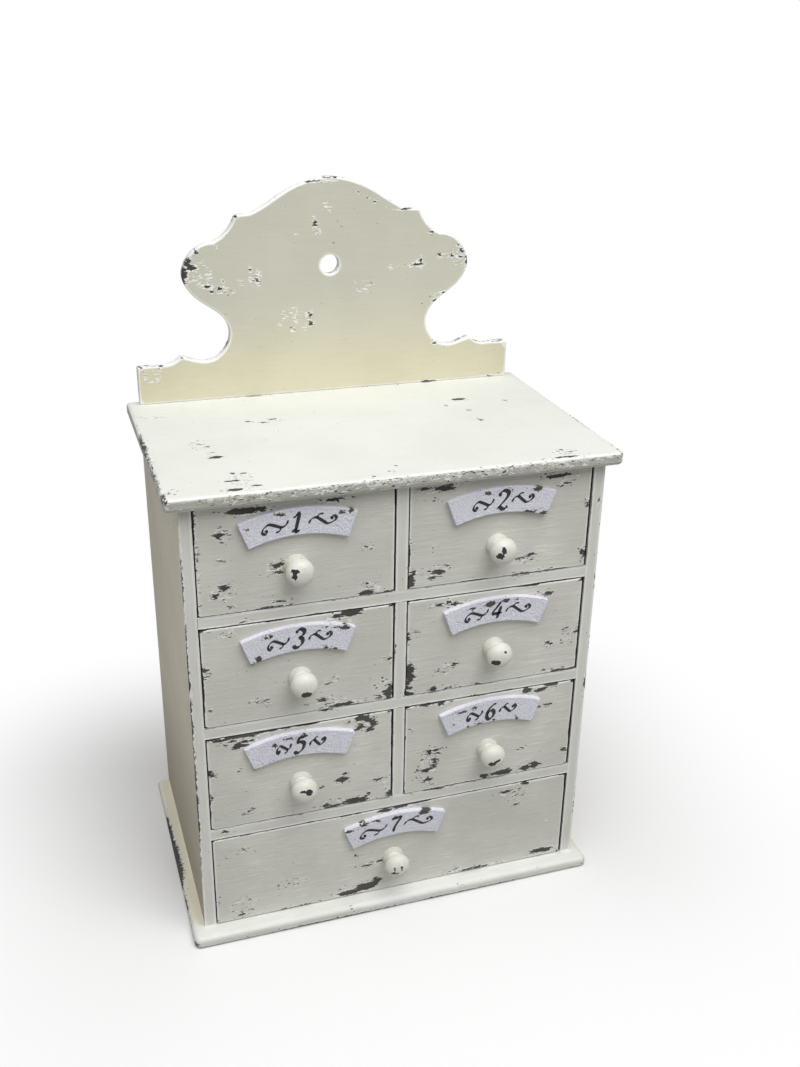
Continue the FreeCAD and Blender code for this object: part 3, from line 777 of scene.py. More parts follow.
# %% [markdown]
# ## Bare timber and plywood
# Drawer sides and backs are planed softwood, the bottoms and the back panel thin plywood. Both
# are bare, so they are rough, with a little relief in their pores. One function serves for all.


# %% Timber materials
timber_relief = 0.12 * mm


def bare_timber(name, way, light, dark, wildness, seed):
    material, r, _, shifted = new_material(name, seed)
    wood = r.group(timber, position=shifted, bands=way["bands"], pores=way["pores"],
                   wildness=wildness)
    cloud = r.noise(shifted, 12.0, 2.0)
    colour = r.mix(wood["Tone"], light, dark)
    colour = r.mix(r.step(cloud, 0.35, 0.75, 0.0, 0.25), colour, dark)
    roughness = r.multiply_add(wood["Tone"], 0.1, 0.66)
    finish_surface(r, colour, roughness, wood["Relief"], timber_relief)
    return material


side_timber = bare_timber("drawer_side_timber", along_y, pine_light, pine_dark, wildness=2.2, seed=21.0)
back_timber = bare_timber("drawer_back_timber", along_x, pine_light, pine_dark, wildness=2.2, seed=22.0)
bottom_ply = bare_timber("bottom_plywood", along_x, ply_light, ply_dark, wildness=3.4, seed=23.0)
for drawer in front_chips:
    dress(drawer + "_sides", side_timber)
    dress(drawer + "_back", back_timber)
    dress(drawer + "_bottom", bottom_ply)
print("timber on", 3 * len(front_chips), "nodes")

# %% [markdown]
# ## The nailed back
# The plywood back is held by small nails, one row along each side and one along the top and the
# bottom. A fold of the coordinate gives every point its distance to the nearest nail of a row,
# so one pair of rows costs a few sums, whatever the number of nails.

# %% Back panel
nail_spacing = 58.0 * mm
nail_inset = 5.0 * mm
nail_head = 1.5 * mm


def nailed_back(corners):
    material, r, position, shifted = new_material("back_plywood", seed=24.0)
    centre = (corners[0] + corners[1]) / 2
    half = (corners[1] - corners[0]) / 2
    x, _, z = r.axes(r.vector("ABSOLUTE", r.vector("SUBTRACT", position, tuple(centre))))
    nearest = None
    for across, along, reach in ((x, z, half.x), (z, x, half.z)):
        a = r.subtract(across, reach - nail_inset)
        b = r.pingpong(along, nail_spacing / 2)
        away = r.sqrt(r.add(r.multiply(a, a), r.multiply(b, b)))
        nearest = away if nearest is None else r.minimum(nearest, away)
    nail = r.step(nearest, nail_head, nail_head - 0.1 * mm)
    wood = r.group(timber, position=shifted, bands=along_z["bands"], pores=along_z["pores"],
                   wildness=1.6)
    cloud = r.step(r.noise(shifted, 12.0, 2.0), 0.35, 0.75, 0.0, 0.3)
    colour = r.mix(r.multiply(wood["Tone"], 0.7), ply_light, ply_dark)
    colour = r.mix(cloud, colour, ply_dark)
    stain = r.step(nearest, nail_head + 1.6 * mm, nail_head, 0.0, 0.35)
    colour = r.mix(nail, r.mix(stain, colour, undercoat), zinc_dull)
    relief = r.multiply_add(nail, 2.0, wood["Relief"])
    roughness = r.multiply_add(nail, -0.3, 0.70)
    finish_surface(r, colour, roughness, relief, timber_relief, Metallic=nail)
    return material


dress("back_panel", nailed_back(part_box("back_panel")))
print("back panel nailed")

# %% [markdown]
# ## Turned knobs
# The paint of the knobs is smoother than that of the boards and a little glossy, and the heads
# are chipped. The furrows between the beads of the collar get a dark line of painted shade. They
# lie where the distance to the knob's own axis is less than that of the beads' crowns at the same
# depth, so no mask has to be painted. Chips are X, distance out, Z and two radii, in millimetres.

# %% Knobs
collar_radius = 8.8 * mm
collar_taper = 0.19
collar_depth = 4.8 * mm
knob_shake = 3.5 * mm
knob_relief = 0.06 * mm
knob_chips = {
    "drawer_1": [(-4.7, 19.2, 4.2, 3.2, 1.6), (-5.4, 19.4, 1.2, 1.8, 3.2)],
    "drawer_2": [(-2.3, 20, 3.8, 1.7, 2.6), (-5.1, 19.7, -0.6, 2.8, 2.4)],
    "drawer_3": [(-0.1, 20.1, -4, 4.4, 2.8)],
    "drawer_4": [(-5.2, 19.5, -2.7, 3.8, 2.4), (2.1, 19.4, 5.5, 1.1, 1.3)],
    "drawer_5": [(1.5, 20.3, 3, 2.7, 2.5), (-3, 19.7, 3.9, 2.6, 1.2)],
    "drawer_6": [(-3.2, 20.1, -2.1, 3, 2), (-0.5, 20.3, -1, 1.6, 1.2), (1.8, 20.4, 0.4, 2.2, 1)],
    "drawer_7": [
        (-4.4, 19.9, 1.9, 0.9, 2.2), (-4.9, 19.8, -1.4, 1.8, 1.2), (-1.9, 20.4, -1.9, 0.9, 0.8),
        (1.6, 20.4, 2.1, 0.7, 2.3)],
}


def painted_knob(name, corners, chips, seed):
    material, r, position, shifted = new_material(name, seed)
    low, high = corners
    axis = Vector(((low.x + high.x) / 2, high.y, (low.z + high.z) / 2))
    places = [(axis.x + x * mm, axis.y - out * mm, axis.z + z * mm, rx * mm, 6 * mm, rz * mm)
              for x, out, z, rx, rz in chips]
    x, y, z = r.axes(r.vector("SUBTRACT", position, tuple(axis)))
    radius = r.sqrt(r.add(r.multiply(x, x), r.multiply(z, z)))
    out = r.subtract(0.0, y)
    shift = r.group(flaking, position=shifted, grain=ones, shake=knob_shake)["Shift"]
    layers = r.group(ragged_paint, position=shifted, grain=ones, edge_distance=out,
                     edge_wear=0.7 * mm, raggedness=0.5, flecks=0.35,
                     field=chip_field(r, r.vector("ADD", position, shift), places))
    marks = r.group(brush_marks, position=shifted, furrows=(260.0, 260.0, 260.0))
    colour = r.mix(r.step(marks["Tone"], dull_until, bright_from), knob_cream_dull, knob_cream)
    beads_top = r.multiply_add(out, -collar_taper, collar_radius)
    furrow = r.step(r.subtract(beads_top, radius), 0.10 * mm, 0.36 * mm)
    furrow = r.multiply(furrow, r.step(out, collar_depth + 0.3 * mm, collar_depth))
    # Painted shade in the collar's furrows.
    colour = r.mix(r.multiply(furrow, 0.7), colour, knob_furrow_shade)
    colour = r.mix(r.multiply(layers["Primer"], 0.6), colour, primer_white)
    colour = r.mix(layers["Bare"], colour, soot_black)
    relief = r.multiply_add(layers["Bare"], -2.0, marks["Relief"])
    roughness = r.multiply_add(layers["Bare"], 0.25, 0.40)
    finish_surface(r, colour, roughness, relief, knob_relief)
    return material


for seed, (drawer, chips) in enumerate(knob_chips.items(), 31):
    node = drawer + "_knob"
    dress(node, painted_knob(node + "_paint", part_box(node), chips, float(seed)))
print("knobs:", len(knob_chips))

# %% [markdown]
# ## Screws
# Zinc-plated screws are only met from below and inside. Their plating is cloudy and finely
# scratched, which takes two noises, one of them stretched along Z.


# %% Screws
plating_relief = 0.03 * mm


def plated_screw():
    material, r, position, _ = new_material("zinc_plating")
    cloud = r.noise(position, 700.0, 3.0, 0.6)
    scratch = r.noise(position, (2600.0, 2600.0, 300.0), 2.0, 0.6)
    colour = r.mix(r.step(cloud, 0.35, 0.65), zinc, zinc_dull)
    roughness = r.multiply_add(scratch, 0.3, 0.22)
    finish_surface(r, colour, roughness, scratch, plating_relief, Metallic=1.0)
    return material


zinc_plating = plated_screw()
dress("carcass_screws", zinc_plating)
for drawer in front_chips:
    dress(drawer + "_knob_screw", zinc_plating)
print("screws plated")

# %% [markdown]
# ## Label plates
# The plates have a coat as rough as plaster, in a cold lavender white, and their arched lower
# edges have crumbled. Modelled grains would be heavy, so the roughness is a deep bump. Chips
# are in millimetres from the middle of the plate's upper edge, X to the right and Z down.

# %% Labels
label_chips = {
    "drawer_1": [
        (-13, 3.2, 3.6, 1.2), (31, 7.2, 2.4, 1.4), (38, 6.2, 1.8, 1.2), (-36, 12.4, 1, 0.8)],
    "drawer_2": [
        (33, 24.4, 2.8, 1.6), (21, 22.2, 6.6, 1.7), (27.5, 4.4, 4.2, 1.3), (6, 3, 0.7, 1.5),
        (-12, 3.4, 2.4, 1.1)],
    "drawer_3": [
        (-25, 6, 1.5, 0.8), (-21, 5, 1.6, 1.1), (34, 6.6, 3.4, 1.8), (21, 3.8, 1.6, 0.8),
        (-30, 23, 1.8, 3), (-33.5, 26.6, 2.6, 1.2), (20, 21.6, 1.4, 2), (26.5, 23.4, 2, 1.4),
        (28, 5, 2.4, 0.8)],
    "drawer_4": [
        (-6, 4.2, 4.8, 2.2), (6.5, 3.2, 3.4, 1.8), (-20, 5.6, 1.8, 0.8), (15.5, 3, 1.2, 0.6)],
    "drawer_5": [
        (-19.6, 7.8, 1.4, 1.9), (-9, 3.8, 3, 0.8), (3, 2.4, 1.2, 1), (-16, 23, 6, 1),
        (-36, 26, 3, 0.8), (-4.5, 21.2, 2.4, 0.9)],
    "drawer_6": [
        (-24, 7, 3.4, 1), (-14, 4.8, 2.2, 0.9), (-9, 20.4, 2.6, 1.3), (3, 19.8, 1, 1.8),
        (22, 21.4, 1.5, 2), (-32, 17.6, 0.8, 0.6), (-19, 22, 1.2, 0.9)],
    "drawer_7": [(-26.5, 4.8, 3.2, 1.9), (25, 3.6, 5, 1.9), (-38, 9, 2.4, 0.8), (-16, 3.4, 2, 0.7)],
}


label_grain = (0.7, 1.0, 1.0)
label_relief = 0.80 * mm


def rough_label(name, corners, chips, seed):
    material, r, position, shifted = new_material(name, seed)
    low, high = corners
    middle = (low.x + high.x) / 2
    places = [(middle + x * mm, low.y, high.z - z * mm, rx * mm, 8 * mm, rz * mm)
              for x, z, rx, rz in chips]
    shift = r.group(flaking, position=shifted, grain=label_grain)["Shift"]
    layers = r.group(ragged_paint, position=shifted, grain=label_grain, edge_wear=0.0,
                     field=chip_field(r, r.vector("ADD", position, shift), places))
    daub = r.noise(shifted, 620.0, 3.0, 0.62)
    grit = r.noise(shifted, 1600.0, 1.0)
    colour = r.mix(r.step(daub, 0.40, 0.60), lavender_dull, lavender)
    colour = r.mix(r.multiply(layers["Primer"], 0.5), colour, primer_white)
    colour = r.mix(layers["Bare"], colour, undercoat_pale)
    relief = r.multiply_add(grit, 0.5, r.multiply(daub, 1.6))
    relief = r.multiply_add(layers["Bare"], -0.8, relief)
    finish_surface(r, colour, 0.74, relief, label_relief)
    return material


for seed, (drawer, chips) in enumerate(label_chips.items(), 41):
    node = drawer + "_label"
    dress(node, rough_label(node + "_paint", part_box(node), chips, float(seed)))
print("labels:", len(label_chips))

# %% [markdown]
# ## Numerals and flourishes
# Each label carries a plain number, written with a broad pen, and a flourish at each side. A
# pen nib has a fixed angle, so a stroke is thick where it runs across the nib and thin where it
# runs along it, and that one rule gives every numeral its look. Strokes are lists of points
# in units of the numeral's height, smoothed by a Catmull-Rom curve, then bent to the arch of
# the plate and built as paint with a real thickness.

# %% Strokes of the numerals
numeral_strokes = {
    "1": [[(0.02, 0.72), (0.14, 0.80), (0.27, 1.0)], [(0.30, 1.0), (0.25, 0.5), (0.20, 0.0)],
          [(0.00, 0.02), (0.14, 0.05), (0.28, 0.0), (0.42, 0.05)]],
    "2": [[(0.08, 0.70), (0.10, 0.90), (0.28, 1.0), (0.49, 0.90), (0.50, 0.68), (0.34, 0.40),
           (0.02, 0.04)], [(0.02, 0.04), (0.16, 0.12), (0.34, 0.02), (0.52, 0.04), (0.60, 0.18)]],
    "3": [[(0.12, 0.80), (0.18, 0.96), (0.34, 1.0), (0.50, 0.88), (0.46, 0.66), (0.26, 0.54)],
          [(0.26, 0.54), (0.46, 0.46), (0.50, 0.22), (0.34, 0.03), (0.14, 0.02), (0.04, 0.16)]],
    "4": [[(0.42, 1.0), (0.24, 0.66), (0.00, 0.34)], [(0.00, 0.34), (0.20, 0.30), (0.60, 0.34)],
          [(0.48, 0.72), (0.42, 0.36), (0.36, 0.0)]],
    "5": [[(0.20, 0.96), (0.36, 0.92), (0.60, 1.0)], [(0.20, 0.96), (0.16, 0.78), (0.11, 0.56)],
          [(0.11, 0.56), (0.28, 0.64), (0.47, 0.54), (0.48, 0.26), (0.32, 0.04), (0.12, 0.01),
           (0.02, 0.14)]],
    "6": [[(0.52, 0.95), (0.32, 0.84), (0.12, 0.54), (0.08, 0.22), (0.22, 0.01), (0.42, 0.08),
           (0.50, 0.32), (0.38, 0.52), (0.20, 0.48), (0.09, 0.30)]],
    "7": [[(0.08, 0.80), (0.14, 0.95), (0.32, 0.92), (0.58, 1.0)],
          [(0.58, 1.0), (0.40, 0.62), (0.26, 0.30), (0.22, 0.0)]],
}
flourish_stroke = [(0.0, -0.16), (0.10, 0.06), (0.28, 0.14), (0.50, -0.02), (0.70, -0.14),
                   (0.90, -0.02), (0.98, 0.16), (0.89, 0.27), (0.81, 0.18), (0.87, 0.09)]
flourish_leaf = [(0.26, 0.10), (0.37, 0.30), (0.52, 0.34)]
nib_angle = math.radians(38)
numeral_slant = 0.16
numeral_height = 14.6 * mm
thin_stroke = 0.9 * mm
thick_stroke = 3.5 * mm
paint_build = 0.12 * mm
flourish_start = 7.0 * mm
flourish_height = 15.0 * mm
flourish_thin = 0.7 * mm
flourish_thick = 2.4 * mm
leaf_thick = 1.9 * mm


def smooth(points, steps=8):
    """Points of a Catmull-Rom curve through the given ones."""
    ends = [points[0] * 2 - points[1], *points, points[-1] * 2 - points[-2]]
    curve = []
    for a, b, c, d in zip(ends, ends[1:], ends[2:], ends[3:]):
        for i in range(steps):
            t = i / steps
            curve.append(0.5 * (2 * b + (c - a) * t + (2 * a - 5 * b + 4 * c - d) * t * t
                                + (3 * b - a - 3 * c + d) * t ** 3))
    return curve + [points[-1]]


tip_points = 3
tip_start = 0.6


def pen_outline(curve, thin, thick):
    """Left and right edge of a stroke of a broad nib, with pointed ends."""
    left, right = [], []
    for i, point in enumerate(curve):
        along = curve[min(i + 1, len(curve) - 1)] - curve[max(i - 1, 0)]
        across = Vector((-along.y, along.x)).normalized()
        turn = math.atan2(along.y, along.x) - nib_angle
        ends = min(1.0, (min(i, len(curve) - 1 - i) + tip_start) / tip_points)
        half = (thin + (thick - thin) * abs(math.sin(turn))) / 2 * ends
        left.append(point + across * half)
        right.append(point - across * half)
    return left, right


print("numerals:", "".join(numeral_strokes))

# %% [markdown]
# ## Bending the strokes to the plate
# The plates are slices of a ring, so a point goes round the ring by its X and out along the
# radius by its height. Five of the seven plates lean a little, and the lean is repeated here,
# so that the writing stays parallel to its plate.

# %% Writing on the plates
plate_radius = 122.4 * mm
plate_band = 20.4 * mm
plate_lean = {"drawer_1": 0.7, "drawer_3": 0.3, "drawer_4": -0.2, "drawer_6": 0.7, "drawer_7": 0.9}
flourish_reach = {"drawer_1": 27, "drawer_2": 24, "drawer_3": 24, "drawer_4": 27,
                  "drawer_5": 19, "drawer_6": 21, "drawer_7": 31}


def strokes_of(number, reach):
    """Outlines of a numeral and its two flourishes, flat, in metres, round the numeral's middle."""
    outlines = []
    for stroke in numeral_strokes[number]:
        points = [Vector((x + numeral_slant * (y - 0.5) - 0.30, y - 0.5)) * numeral_height
                  for x, y in stroke]
        outlines.append(pen_outline(smooth(points), thin_stroke, thick_stroke))
    length = reach - flourish_start
    for side in (-1, 1):
        for stroke, thick in ((flourish_stroke, flourish_thick), (flourish_leaf, leaf_thick)):
            points = [Vector((side * (flourish_start + x * length), side * y * flourish_height))
                      for x, y in stroke]
            outlines.append(pen_outline(smooth(points), flourish_thin, thick))
    return outlines


def write_label(drawer, number):
    low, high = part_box(drawer + "_label")
    pivot = Vector(((low.x + high.x) / 2, low.y, high.z - plate_band / 2))
    lean = math.radians(plate_lean.get(drawer, 0.0))
    middle_radius = plate_radius - plate_band / 2

    def on_plate(point, lift):
        angle = point.x / middle_radius
        radius = middle_radius + point.y
        x = radius * math.sin(angle)
        z = radius * math.cos(angle) - middle_radius
        return Vector((pivot.x + x * math.cos(lean) - z * math.sin(lean), low.y - lift,
                       pivot.z + x * math.sin(lean) + z * math.cos(lean)))

    verts, faces = [], []
    for left, right in strokes_of(number, flourish_reach[drawer] * mm):
        first = len(verts)
        for a, b in zip(left, right):
            verts += [on_plate(a, 0), on_plate(a, paint_build),
                      on_plate(b, paint_build), on_plate(b, 0)]
        last = len(left) - 1
        for i in range(last):
            k = first + 4 * i
            faces += [(k + j, k + j + 1, k + j + 5, k + j + 4) for j in range(3)]
        faces += [tuple(first + j for j in (3, 2, 1, 0)),
                  tuple(first + 4 * last + j for j in range(4))]
    mesh = bpy.data.meshes.new(drawer + "_numeral")
    mesh.from_pydata(verts, [], faces)
    return show(drawer + "_numeral", mesh)


sign_relief = 0.10 * mm


def sign_paint():
    """Black sign paint, thin in places, where the plate's coat shows through."""
    material, r, position, _ = new_material("sign_paint")
    daub = r.noise(position, 1100.0, 3.0, 0.6)
    worn = r.step(daub, 0.69, 0.75)
    colour = r.mix(worn, script_black, lavender_dull)
    finish_surface(r, colour, r.multiply_add(worn, 0.2, 0.5), daub, sign_relief)
    return material


sign_black = sign_paint()
for number, drawer in enumerate(front_chips, 1):
    piece = write_label(drawer, str(number))
    piece.data.materials.append(sign_black)
    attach(piece, drawer)
print("numerals written:", len(front_chips))

# %% [markdown]
# ## The crest
# The fretted crest has a rounded rim that catches the light, and its paint wears along that
# rim, so two things are needed that a plain extrusion lacks: a rim and, on every point, the
# distance to the outline. The outline is read from the frame's own crest, so both stay the
# same size. It is divided evenly, stepped inwards over the rim, and the flat between is filled
# by a Delaunay triangulation over a grid, which carries the distance smoothly.

# %% Crest outline from the frame
rim_radius = 1.1 * mm
rim_steps = 4
outline_step = 1.8 * mm
corner_turn = math.radians(24)
flat_enough = 1e-6
fill_step = 4.0 * mm


def face_loops(mesh, y_level):
    """Closed loops of 2D points round the flat face at one Y, outer loop first."""
    def key(index):
        co = mesh.vertices[index].co
        return (round(co.x, 6), round(co.z, 6))

    uses = {}
    for polygon in mesh.polygons:
        if all(abs(mesh.vertices[i].co.y - y_level) < flat_enough for i in polygon.vertices):
            corners = [key(i) for i in polygon.vertices]
            for a, b in zip(corners, corners[1:] + corners[:1]):
                uses[a, b] = True
    follow = {a: b for a, b in uses if (b, a) not in uses}
    loops = []
    while follow:
        start = min(follow)
        loop = [start]
        while follow.get(loop[-1]) is not None:
            loop.append(follow.pop(loop[-1]))
            if loop[-1] == start:
                break
        loops.append([Vector(p) for p in loop[:-1]])
    return sorted(loops, key=len, reverse=True)


def evened(loop):
    """The loop with evenly spaced points that keep its corners."""
    count = len(loop)

    def turn(i):
        before = loop[i] - loop[i - 1]
        after = loop[(i + 1) % count] - loop[i]
        return abs(before.angle_signed(after)) if before.length * after.length > 0 else 0

    corners = [i for i in range(count) if turn(i) > corner_turn] or [0]
    result = []
    for a, b in zip(corners, corners[1:] + [corners[0] + count]):
        run = [loop[i % count] for i in range(a, b + 1)]
        lengths = [(q - p).length for p, q in zip(run, run[1:])]
        total = sum(lengths)
        parts = max(1, round(total / outline_step))
        for k in range(parts):
            target, i = total * k / parts, 0
            while i < len(lengths) - 1 and target > lengths[i]:
                target -= lengths[i]
                i += 1
            result.append(run[i].lerp(run[i + 1], target / lengths[i]))
    return result


low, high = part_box("crest_board")
loops = [evened(loop) for loop in face_loops(nodes["crest_board"].data, low.y)]
print("crest outline:", [len(loop) for loop in loops], "points")


# %% [markdown]
# ## Moving the outline and filling it
# The outline moves inwards corner by corner, along the mean of the two normals that meet
# there. The distance to it is searched segment by segment, which is slow but exact. And a ray
# from a point crosses it an odd number of times where there is timber, holes included.


# %% Tools for the crest
least_slope = 0.5
grid_margin = 0.6


def inward(loop, distance):
    """The loop moved towards the timber, which lies on the left of the way it runs."""
    moved = []
    count = len(loop)
    for i, point in enumerate(loop):
        before = (point - loop[i - 1]).normalized()
        after = (loop[(i + 1) % count] - point).normalized()
        normal = Vector((-(before + after).y, (before + after).x)).normalized()
        slope = max(least_slope, normal.dot(Vector((-before.y, before.x))))
        moved.append(point + normal * distance / slope)
    return moved


def signed_area(loop):
    return sum(a.x * b.y - b.x * a.y for a, b in zip(loop, loop[1:] + loop[:1])) / 2


def distance_to(loops, point):
    best = 1.0
    for loop in loops:
        for a, b in zip(loop, loop[1:] + loop[:1]):
            along = b - a
            t = min(1.0, max(0.0, (point - a).dot(along) / along.length_squared))
            best = min(best, (a + along * t - point).length)
    return best


def inside(loops, point):
    crossings = 0
    for loop in loops:
        for a, b in zip(loop, loop[1:] + loop[:1]):
            if (a.y > point.y) != (b.y > point.y):
                if point.x < a.x + (b.x - a.x) * (point.y - a.y) / (b.y - a.y):
                    crossings += 1
    return crossings % 2 == 1


def fill_points(loops):
    """Grid points well inside the outline."""
    xs = [p.x for p in loops[0]]
    zs = [p.y for p in loops[0]]
    points = []
    across = int((max(xs) - min(xs)) / fill_step)
    upward = int((max(zs) - min(zs)) / fill_step)
    for i in range(1, across):
        for k in range(1, upward):
            shift = fill_step / 2 if k % 2 else 0
            points.append(Vector((min(xs) + i * fill_step + shift, min(zs) + k * fill_step)))
    return [p for p in points if distance_to(loops, p) > grid_margin * fill_step]


print("crest tools ready")

# %% [markdown]
# ## The crest's skin
# A bevel would round the rim too, but leave thin faces that carry no distance. Here the rim is
# a quarter circle of rings, front and back, and both flat faces share the same triangles.


# %% Crest mesh
same_point = 1e-9


def make_crest():
    oriented = [loop if (signed_area(loop) > 0) == (i == 0) else loop[::-1]
                for i, loop in enumerate(loops)]
    verts, faces, distances = [], [], []

    def ring(inset, y):
        starts = []
        for loop in oriented:
            starts.append(len(verts))
            for p in inward(loop, inset):
                verts.append(Vector((p.x, y, p.y)))
                distances.append(inset)
        return starts

    profile = []
    for k in range(rim_steps + 1):
        angle = math.pi / 2 * k / rim_steps
        profile.append((rim_radius * (1 - math.sin(angle)), rim_radius * (1 - math.cos(angle))))
    front = [(inset, low.y + drop) for inset, drop in profile]
    back = [(inset, high.y - drop) for inset, drop in reversed(profile)]
    rings = [ring(inset, y) for inset, y in front + back]
    for first, second in zip(rings, rings[1:]):
        for loop, a, b in zip(oriented, first, second):
            n = len(loop)
            faces += [(a + i, a + (i + 1) % n, b + (i + 1) % n, b + i) for i in range(n)]
    inner = [inward(loop, rim_radius) for loop in oriented]
    grid = fill_points(inner)
    points = [p for loop in inner for p in loop] + grid
    edges, start = [], 0
    for loop in inner:
        edges += [(start + i, start + (i + 1) % len(loop)) for i in range(len(loop))]
        start += len(loop)
    flat, _, triangles, _, _, _ = delaunay_2d_cdt(points, edges, [], 0, same_point)
    centre = [sum((flat[i] for i in t), Vector((0, 0))) / 3 for t in triangles]
    kept = [t for t, c in zip(triangles, centre) if inside(inner, c)]
    for y, flip in ((low.y, False), (high.y, True)):
        base = len(verts)
        verts.extend(Vector((p.x, y, p.y)) for p in flat)
        distances.extend(distance_to(oriented, p) for p in flat)
        faces.extend(tuple(base + i for i in (reversed(t) if flip else t)) for t in kept)
    return verts, faces, distances


verts, faces, distances = make_crest()
crest_mesh = bpy.data.meshes.new("crest")
crest_mesh.from_pydata(verts, [], faces)
rim = crest_mesh.attributes.new("rim_distance", "FLOAT", "POINT")
rim.data.foreach_set("value", distances)
crest = show("crest", crest_mesh)
print("crest mesh:", len(verts), "points,", len(faces), "faces")

# %% [markdown]
# ## The crest's paint
# The crest is no box, so its material reads the distance from the mesh. Its paint is warm at
# the foot and greyer at the top, painted light and shade: bounce light from the top board at the
# foot, shade higher up. It is whiter behind the front face. Chips are X, height and two radii,
# in millimetres.

# %% Crest finish
crest_chips = [
    (-107.5, 120.1, 0.9, 1.6), (-114.4, 112.1, 2.6, 4.2), (-118.6, 103, 2.6, 9),
    (-112.4, 107.9, 3.4, 2.4), (-100.6, 92.6, 2.8, 1.2), (-104.7, 95.2, 1.3, 0.6),
    (-96.6, 88.5, 0.8, 1), (-90.4, 90.6, 1.1, 1.6), (-87.8, 95.9, 0.8, 0.7), (-72.5, 94.8, 1, 0.9),
    (-65.6, 104.8, 0.7, 1.1), (-59.8, 95.6, 1.2, 1.7), (-59.1, 91.9, 0.7, 0.9),
    (-32.4, 54.8, 1.2, 1.7), (-17.2, 58.2, 2.2, 1.9), (-17.4, 64.6, 0.8, 2.2),
    (-22.1, 54.1, 0.8, 0.8), (-42.8, 58.4, 0.7, 0.7), (-29, 65.3, 0.5, 0.5), (-11.9, 138, 1.3, 2.4),
    (-13.4, 142.9, 0.6, 0.6), (-8.8, 131.4, 0.6, 1.1), (-156.9, 30.7, 1.2, 0.7),
    (-140, 30.7, 1.6, 0.6), (-123.7, 37.6, 1.9, 1.3), (-152.6, 23.8, 0.7, 0.6),
    (-144.5, 18.6, 0.6, 0.6), (-75.3, 145.7, 1.4, 1.2), (-91.8, 123.8, 0.6, 0.6),
    (-24, 170.6, 14, 0.5), (73.9, 101.5, 4.6, 1.1), (77.8, 104.4, 1.1, 3.2),
    (94.2, 108.7, 0.8, 1.7), (105.2, 108, 1, 1.6), (113.5, 111.4, 1.7, 2), (112.8, 106.1, 2.2, 1.6),
    (118.6, 104, 1.2, 7), (110.6, 116.2, 0.8, 0.8), (92.3, 70.4, 3, 1.9), (100, 77, 5, 0.9),
    (86.9, 127.3, 1.4, 0.8), (23.1, 160.9, 0.6, 0.5), (31.3, 156.8, 0.5, 0.5),
    (38, 153.6, 0.6, 0.5), (6.1, 173.2, 10, 0.5), (65, 146.8, 5, 0.5), (91.8, 33.9, 1, 1),
    (87.5, 0.3, 6.4, 0.6), (144.7, 0.6, 2.9, 0.6),
]
crest_flecked = [
    (-84.4, 89, 8, 6), (-106, 103, 14, 14), (-62, 98, 8, 8), (-30.1, 66, 16, 9),
    (-26.4, 129.7, 4, 3), (-12, 137, 4, 9), (29, 86.5, 12, 8), (-1.5, 150.1, 6, 7),
    (52.6, 100.4, 9, 4), (-148, 24, 12, 8), (112, 106, 8, 10), (76, 103, 6, 5), (94, 74, 10, 6),
    (98, 108, 10, 4), (-132, 35, 12, 4),
]


def on_crest(places):
    return [(x * mm, low.y, low.z + z * mm, rx * mm, 5 * mm, rz * mm) for x, z, rx, rz in places]


def round_the_rim(r, x, y, z):
    """Share of the whiter tones, from just behind the front face backwards."""
    return r.step(y, low.y + 0.5 * mm, low.y + 1.4 * mm)


def towards_top(r, x, y, z):
    """Share of the crest's painted shade, greyer tones growing with height."""
    return r.step(z, low.z + 8 * mm, low.z + 95 * mm)


crest_mesh.materials.append(painted_board(
    "crest_paint", (low, high), along_x,
    [(None, cream_warm), (towards_top, crest_painted_shade), (round_the_rim, whitened)],
    on_crest(crest_chips), on_crest(crest_flecked), seed=51.0, wear=0.25 * mm, flecks=0.45,
    torn=0.6, shake=2.5 * mm, brush=0.07 * mm, edge="rim_distance"))
crest_mesh.polygons.foreach_set("use_smooth", [True] * len(crest_mesh.polygons))
crest_mesh.update()
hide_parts("crest_board")
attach(crest, "cabinet")
print("crest:", len(crest_chips), "chips")

# %% [markdown]
# ## Floor and light
# The floor is pale and keeps the shadow. Seen by the camera it fades to plain white with
# distance; to every other ray it stays a modest grey, so that it doesn't light the cabinet
# from below more than a real table would. Light comes from a large soft panel, high in front
# on the right, from a weaker one above on the left, and faintly from all sides.

# %% Floor, world and lamps
floor_size = 12.0
floor_drop = 0.2 * mm
floor_lit = (0.34, 0.34, 0.32, 1)
floor_seen = (0.90, 0.90, 0.90, 1)
floor_fade = 280 * mm
pure_white = (1, 1, 1, 1)
world_light = 0.295


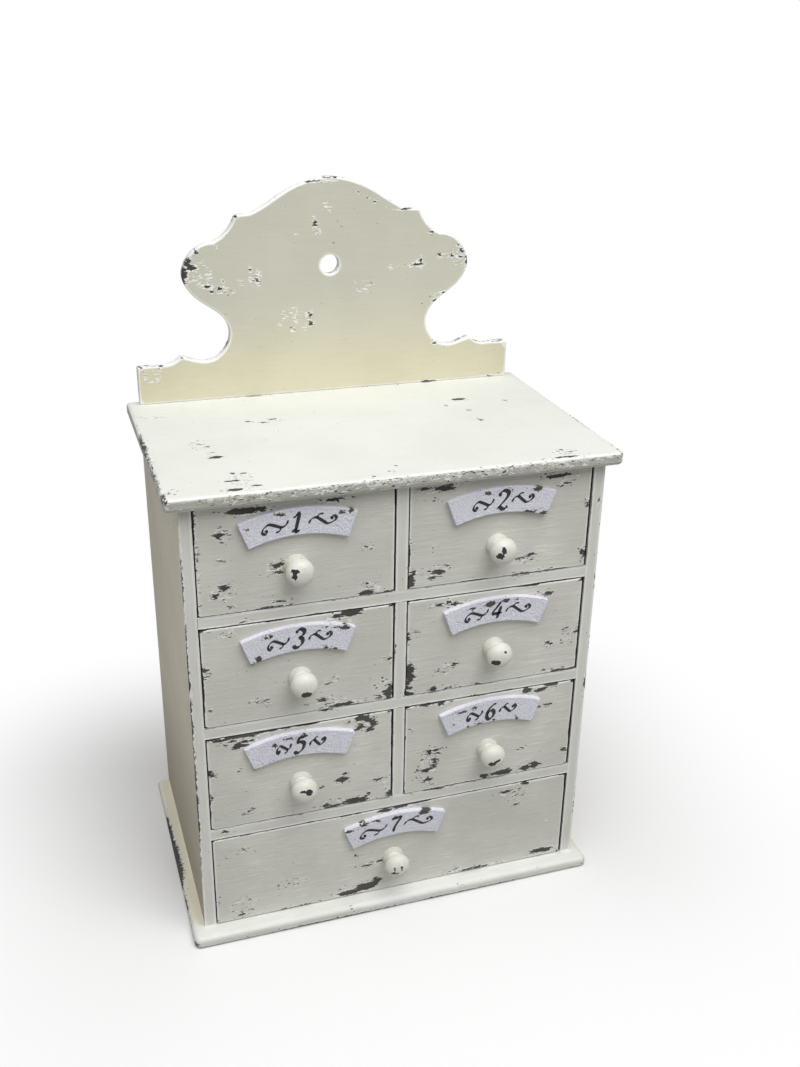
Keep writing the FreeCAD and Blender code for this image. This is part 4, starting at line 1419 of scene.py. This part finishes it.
def make_floor():
    half = floor_size / 2
    mesh = bpy.data.meshes.new("floor")
    mesh.from_pydata([(-half, -half, -floor_drop), (half, -half, -floor_drop),
                      (half, half, -floor_drop), (-half, half, -floor_drop)], [], [(0, 1, 2, 3)])
    floor = show("floor", mesh)
    material, r, position, _ = new_material("floor_pale")
    seen = r.node("ShaderNodeLightPath", {}).outputs
    direct = r.maximum(seen["Is Camera Ray"], seen["Is Glossy Ray"])
    colour = r.mix(direct, floor_lit, floor_seen)
    diffuse = r.node("ShaderNodeBsdfDiffuse", {"Color": colour}).outputs[0]
    white = r.node("ShaderNodeEmission", {"Color": pure_white, "Strength": 1.0}).outputs[0]
    beyond = r.vector("SUBTRACT", r.vector("ABSOLUTE", position), (foot.x, foot.y, 1.0))
    beyond = r.vector("LENGTH", r.vector("MAXIMUM", beyond, zeros))
    far = r.step(beyond, 0.0, floor_fade)
    share = r.multiply(far, direct)
    mixed = r.node("ShaderNodeMixShader", {0: share, 1: diffuse, 2: white}).outputs[0]
    r.node("ShaderNodeOutputMaterial", {"Surface": mixed})
    mesh.materials.append(material)


def make_world(strength):
    world = bpy.data.worlds.new("studio")
    world.use_nodes = True
    world.node_tree.nodes.clear()
    bpy.context.scene.world = world
    r = Recipe(world.node_tree)
    seen = r.node("ShaderNodeLightPath", {}).outputs
    direct = r.maximum(seen["Is Camera Ray"], seen["Is Transmission Ray"])
    soft = r.node("ShaderNodeBackground", {"Color": pure_white, "Strength": strength}).outputs[0]
    white = r.node("ShaderNodeBackground", {"Color": pure_white, "Strength": 1.0}).outputs[0]
    mixed = r.node("ShaderNodeMixShader", {0: direct, 1: soft, 2: white}).outputs[0]
    r.node("ShaderNodeOutputWorld", {"Surface": mixed})


def soft_panel(name, place, target, size, power):
    data = bpy.data.lights.new(name, "AREA")
    data.shape = "SQUARE"
    data.size = size
    data.energy = power
    lamp = show(name, data)
    lamp.location = place
    lamp.rotation_euler = (Vector(target) - Vector(place)).to_track_quat("-Z", "Y").to_euler()


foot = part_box("base_board")[1]
make_floor()
make_world(world_light)
middle = (0, 0, 0.3)
soft_panel("high_panel", place=(0.35, -0.95, 2.0), target=middle, size=1.6, power=31.5)
soft_panel("overhead_panel", place=(-0.65, -0.35, 2.1), target=middle, size=1.8, power=13.5)
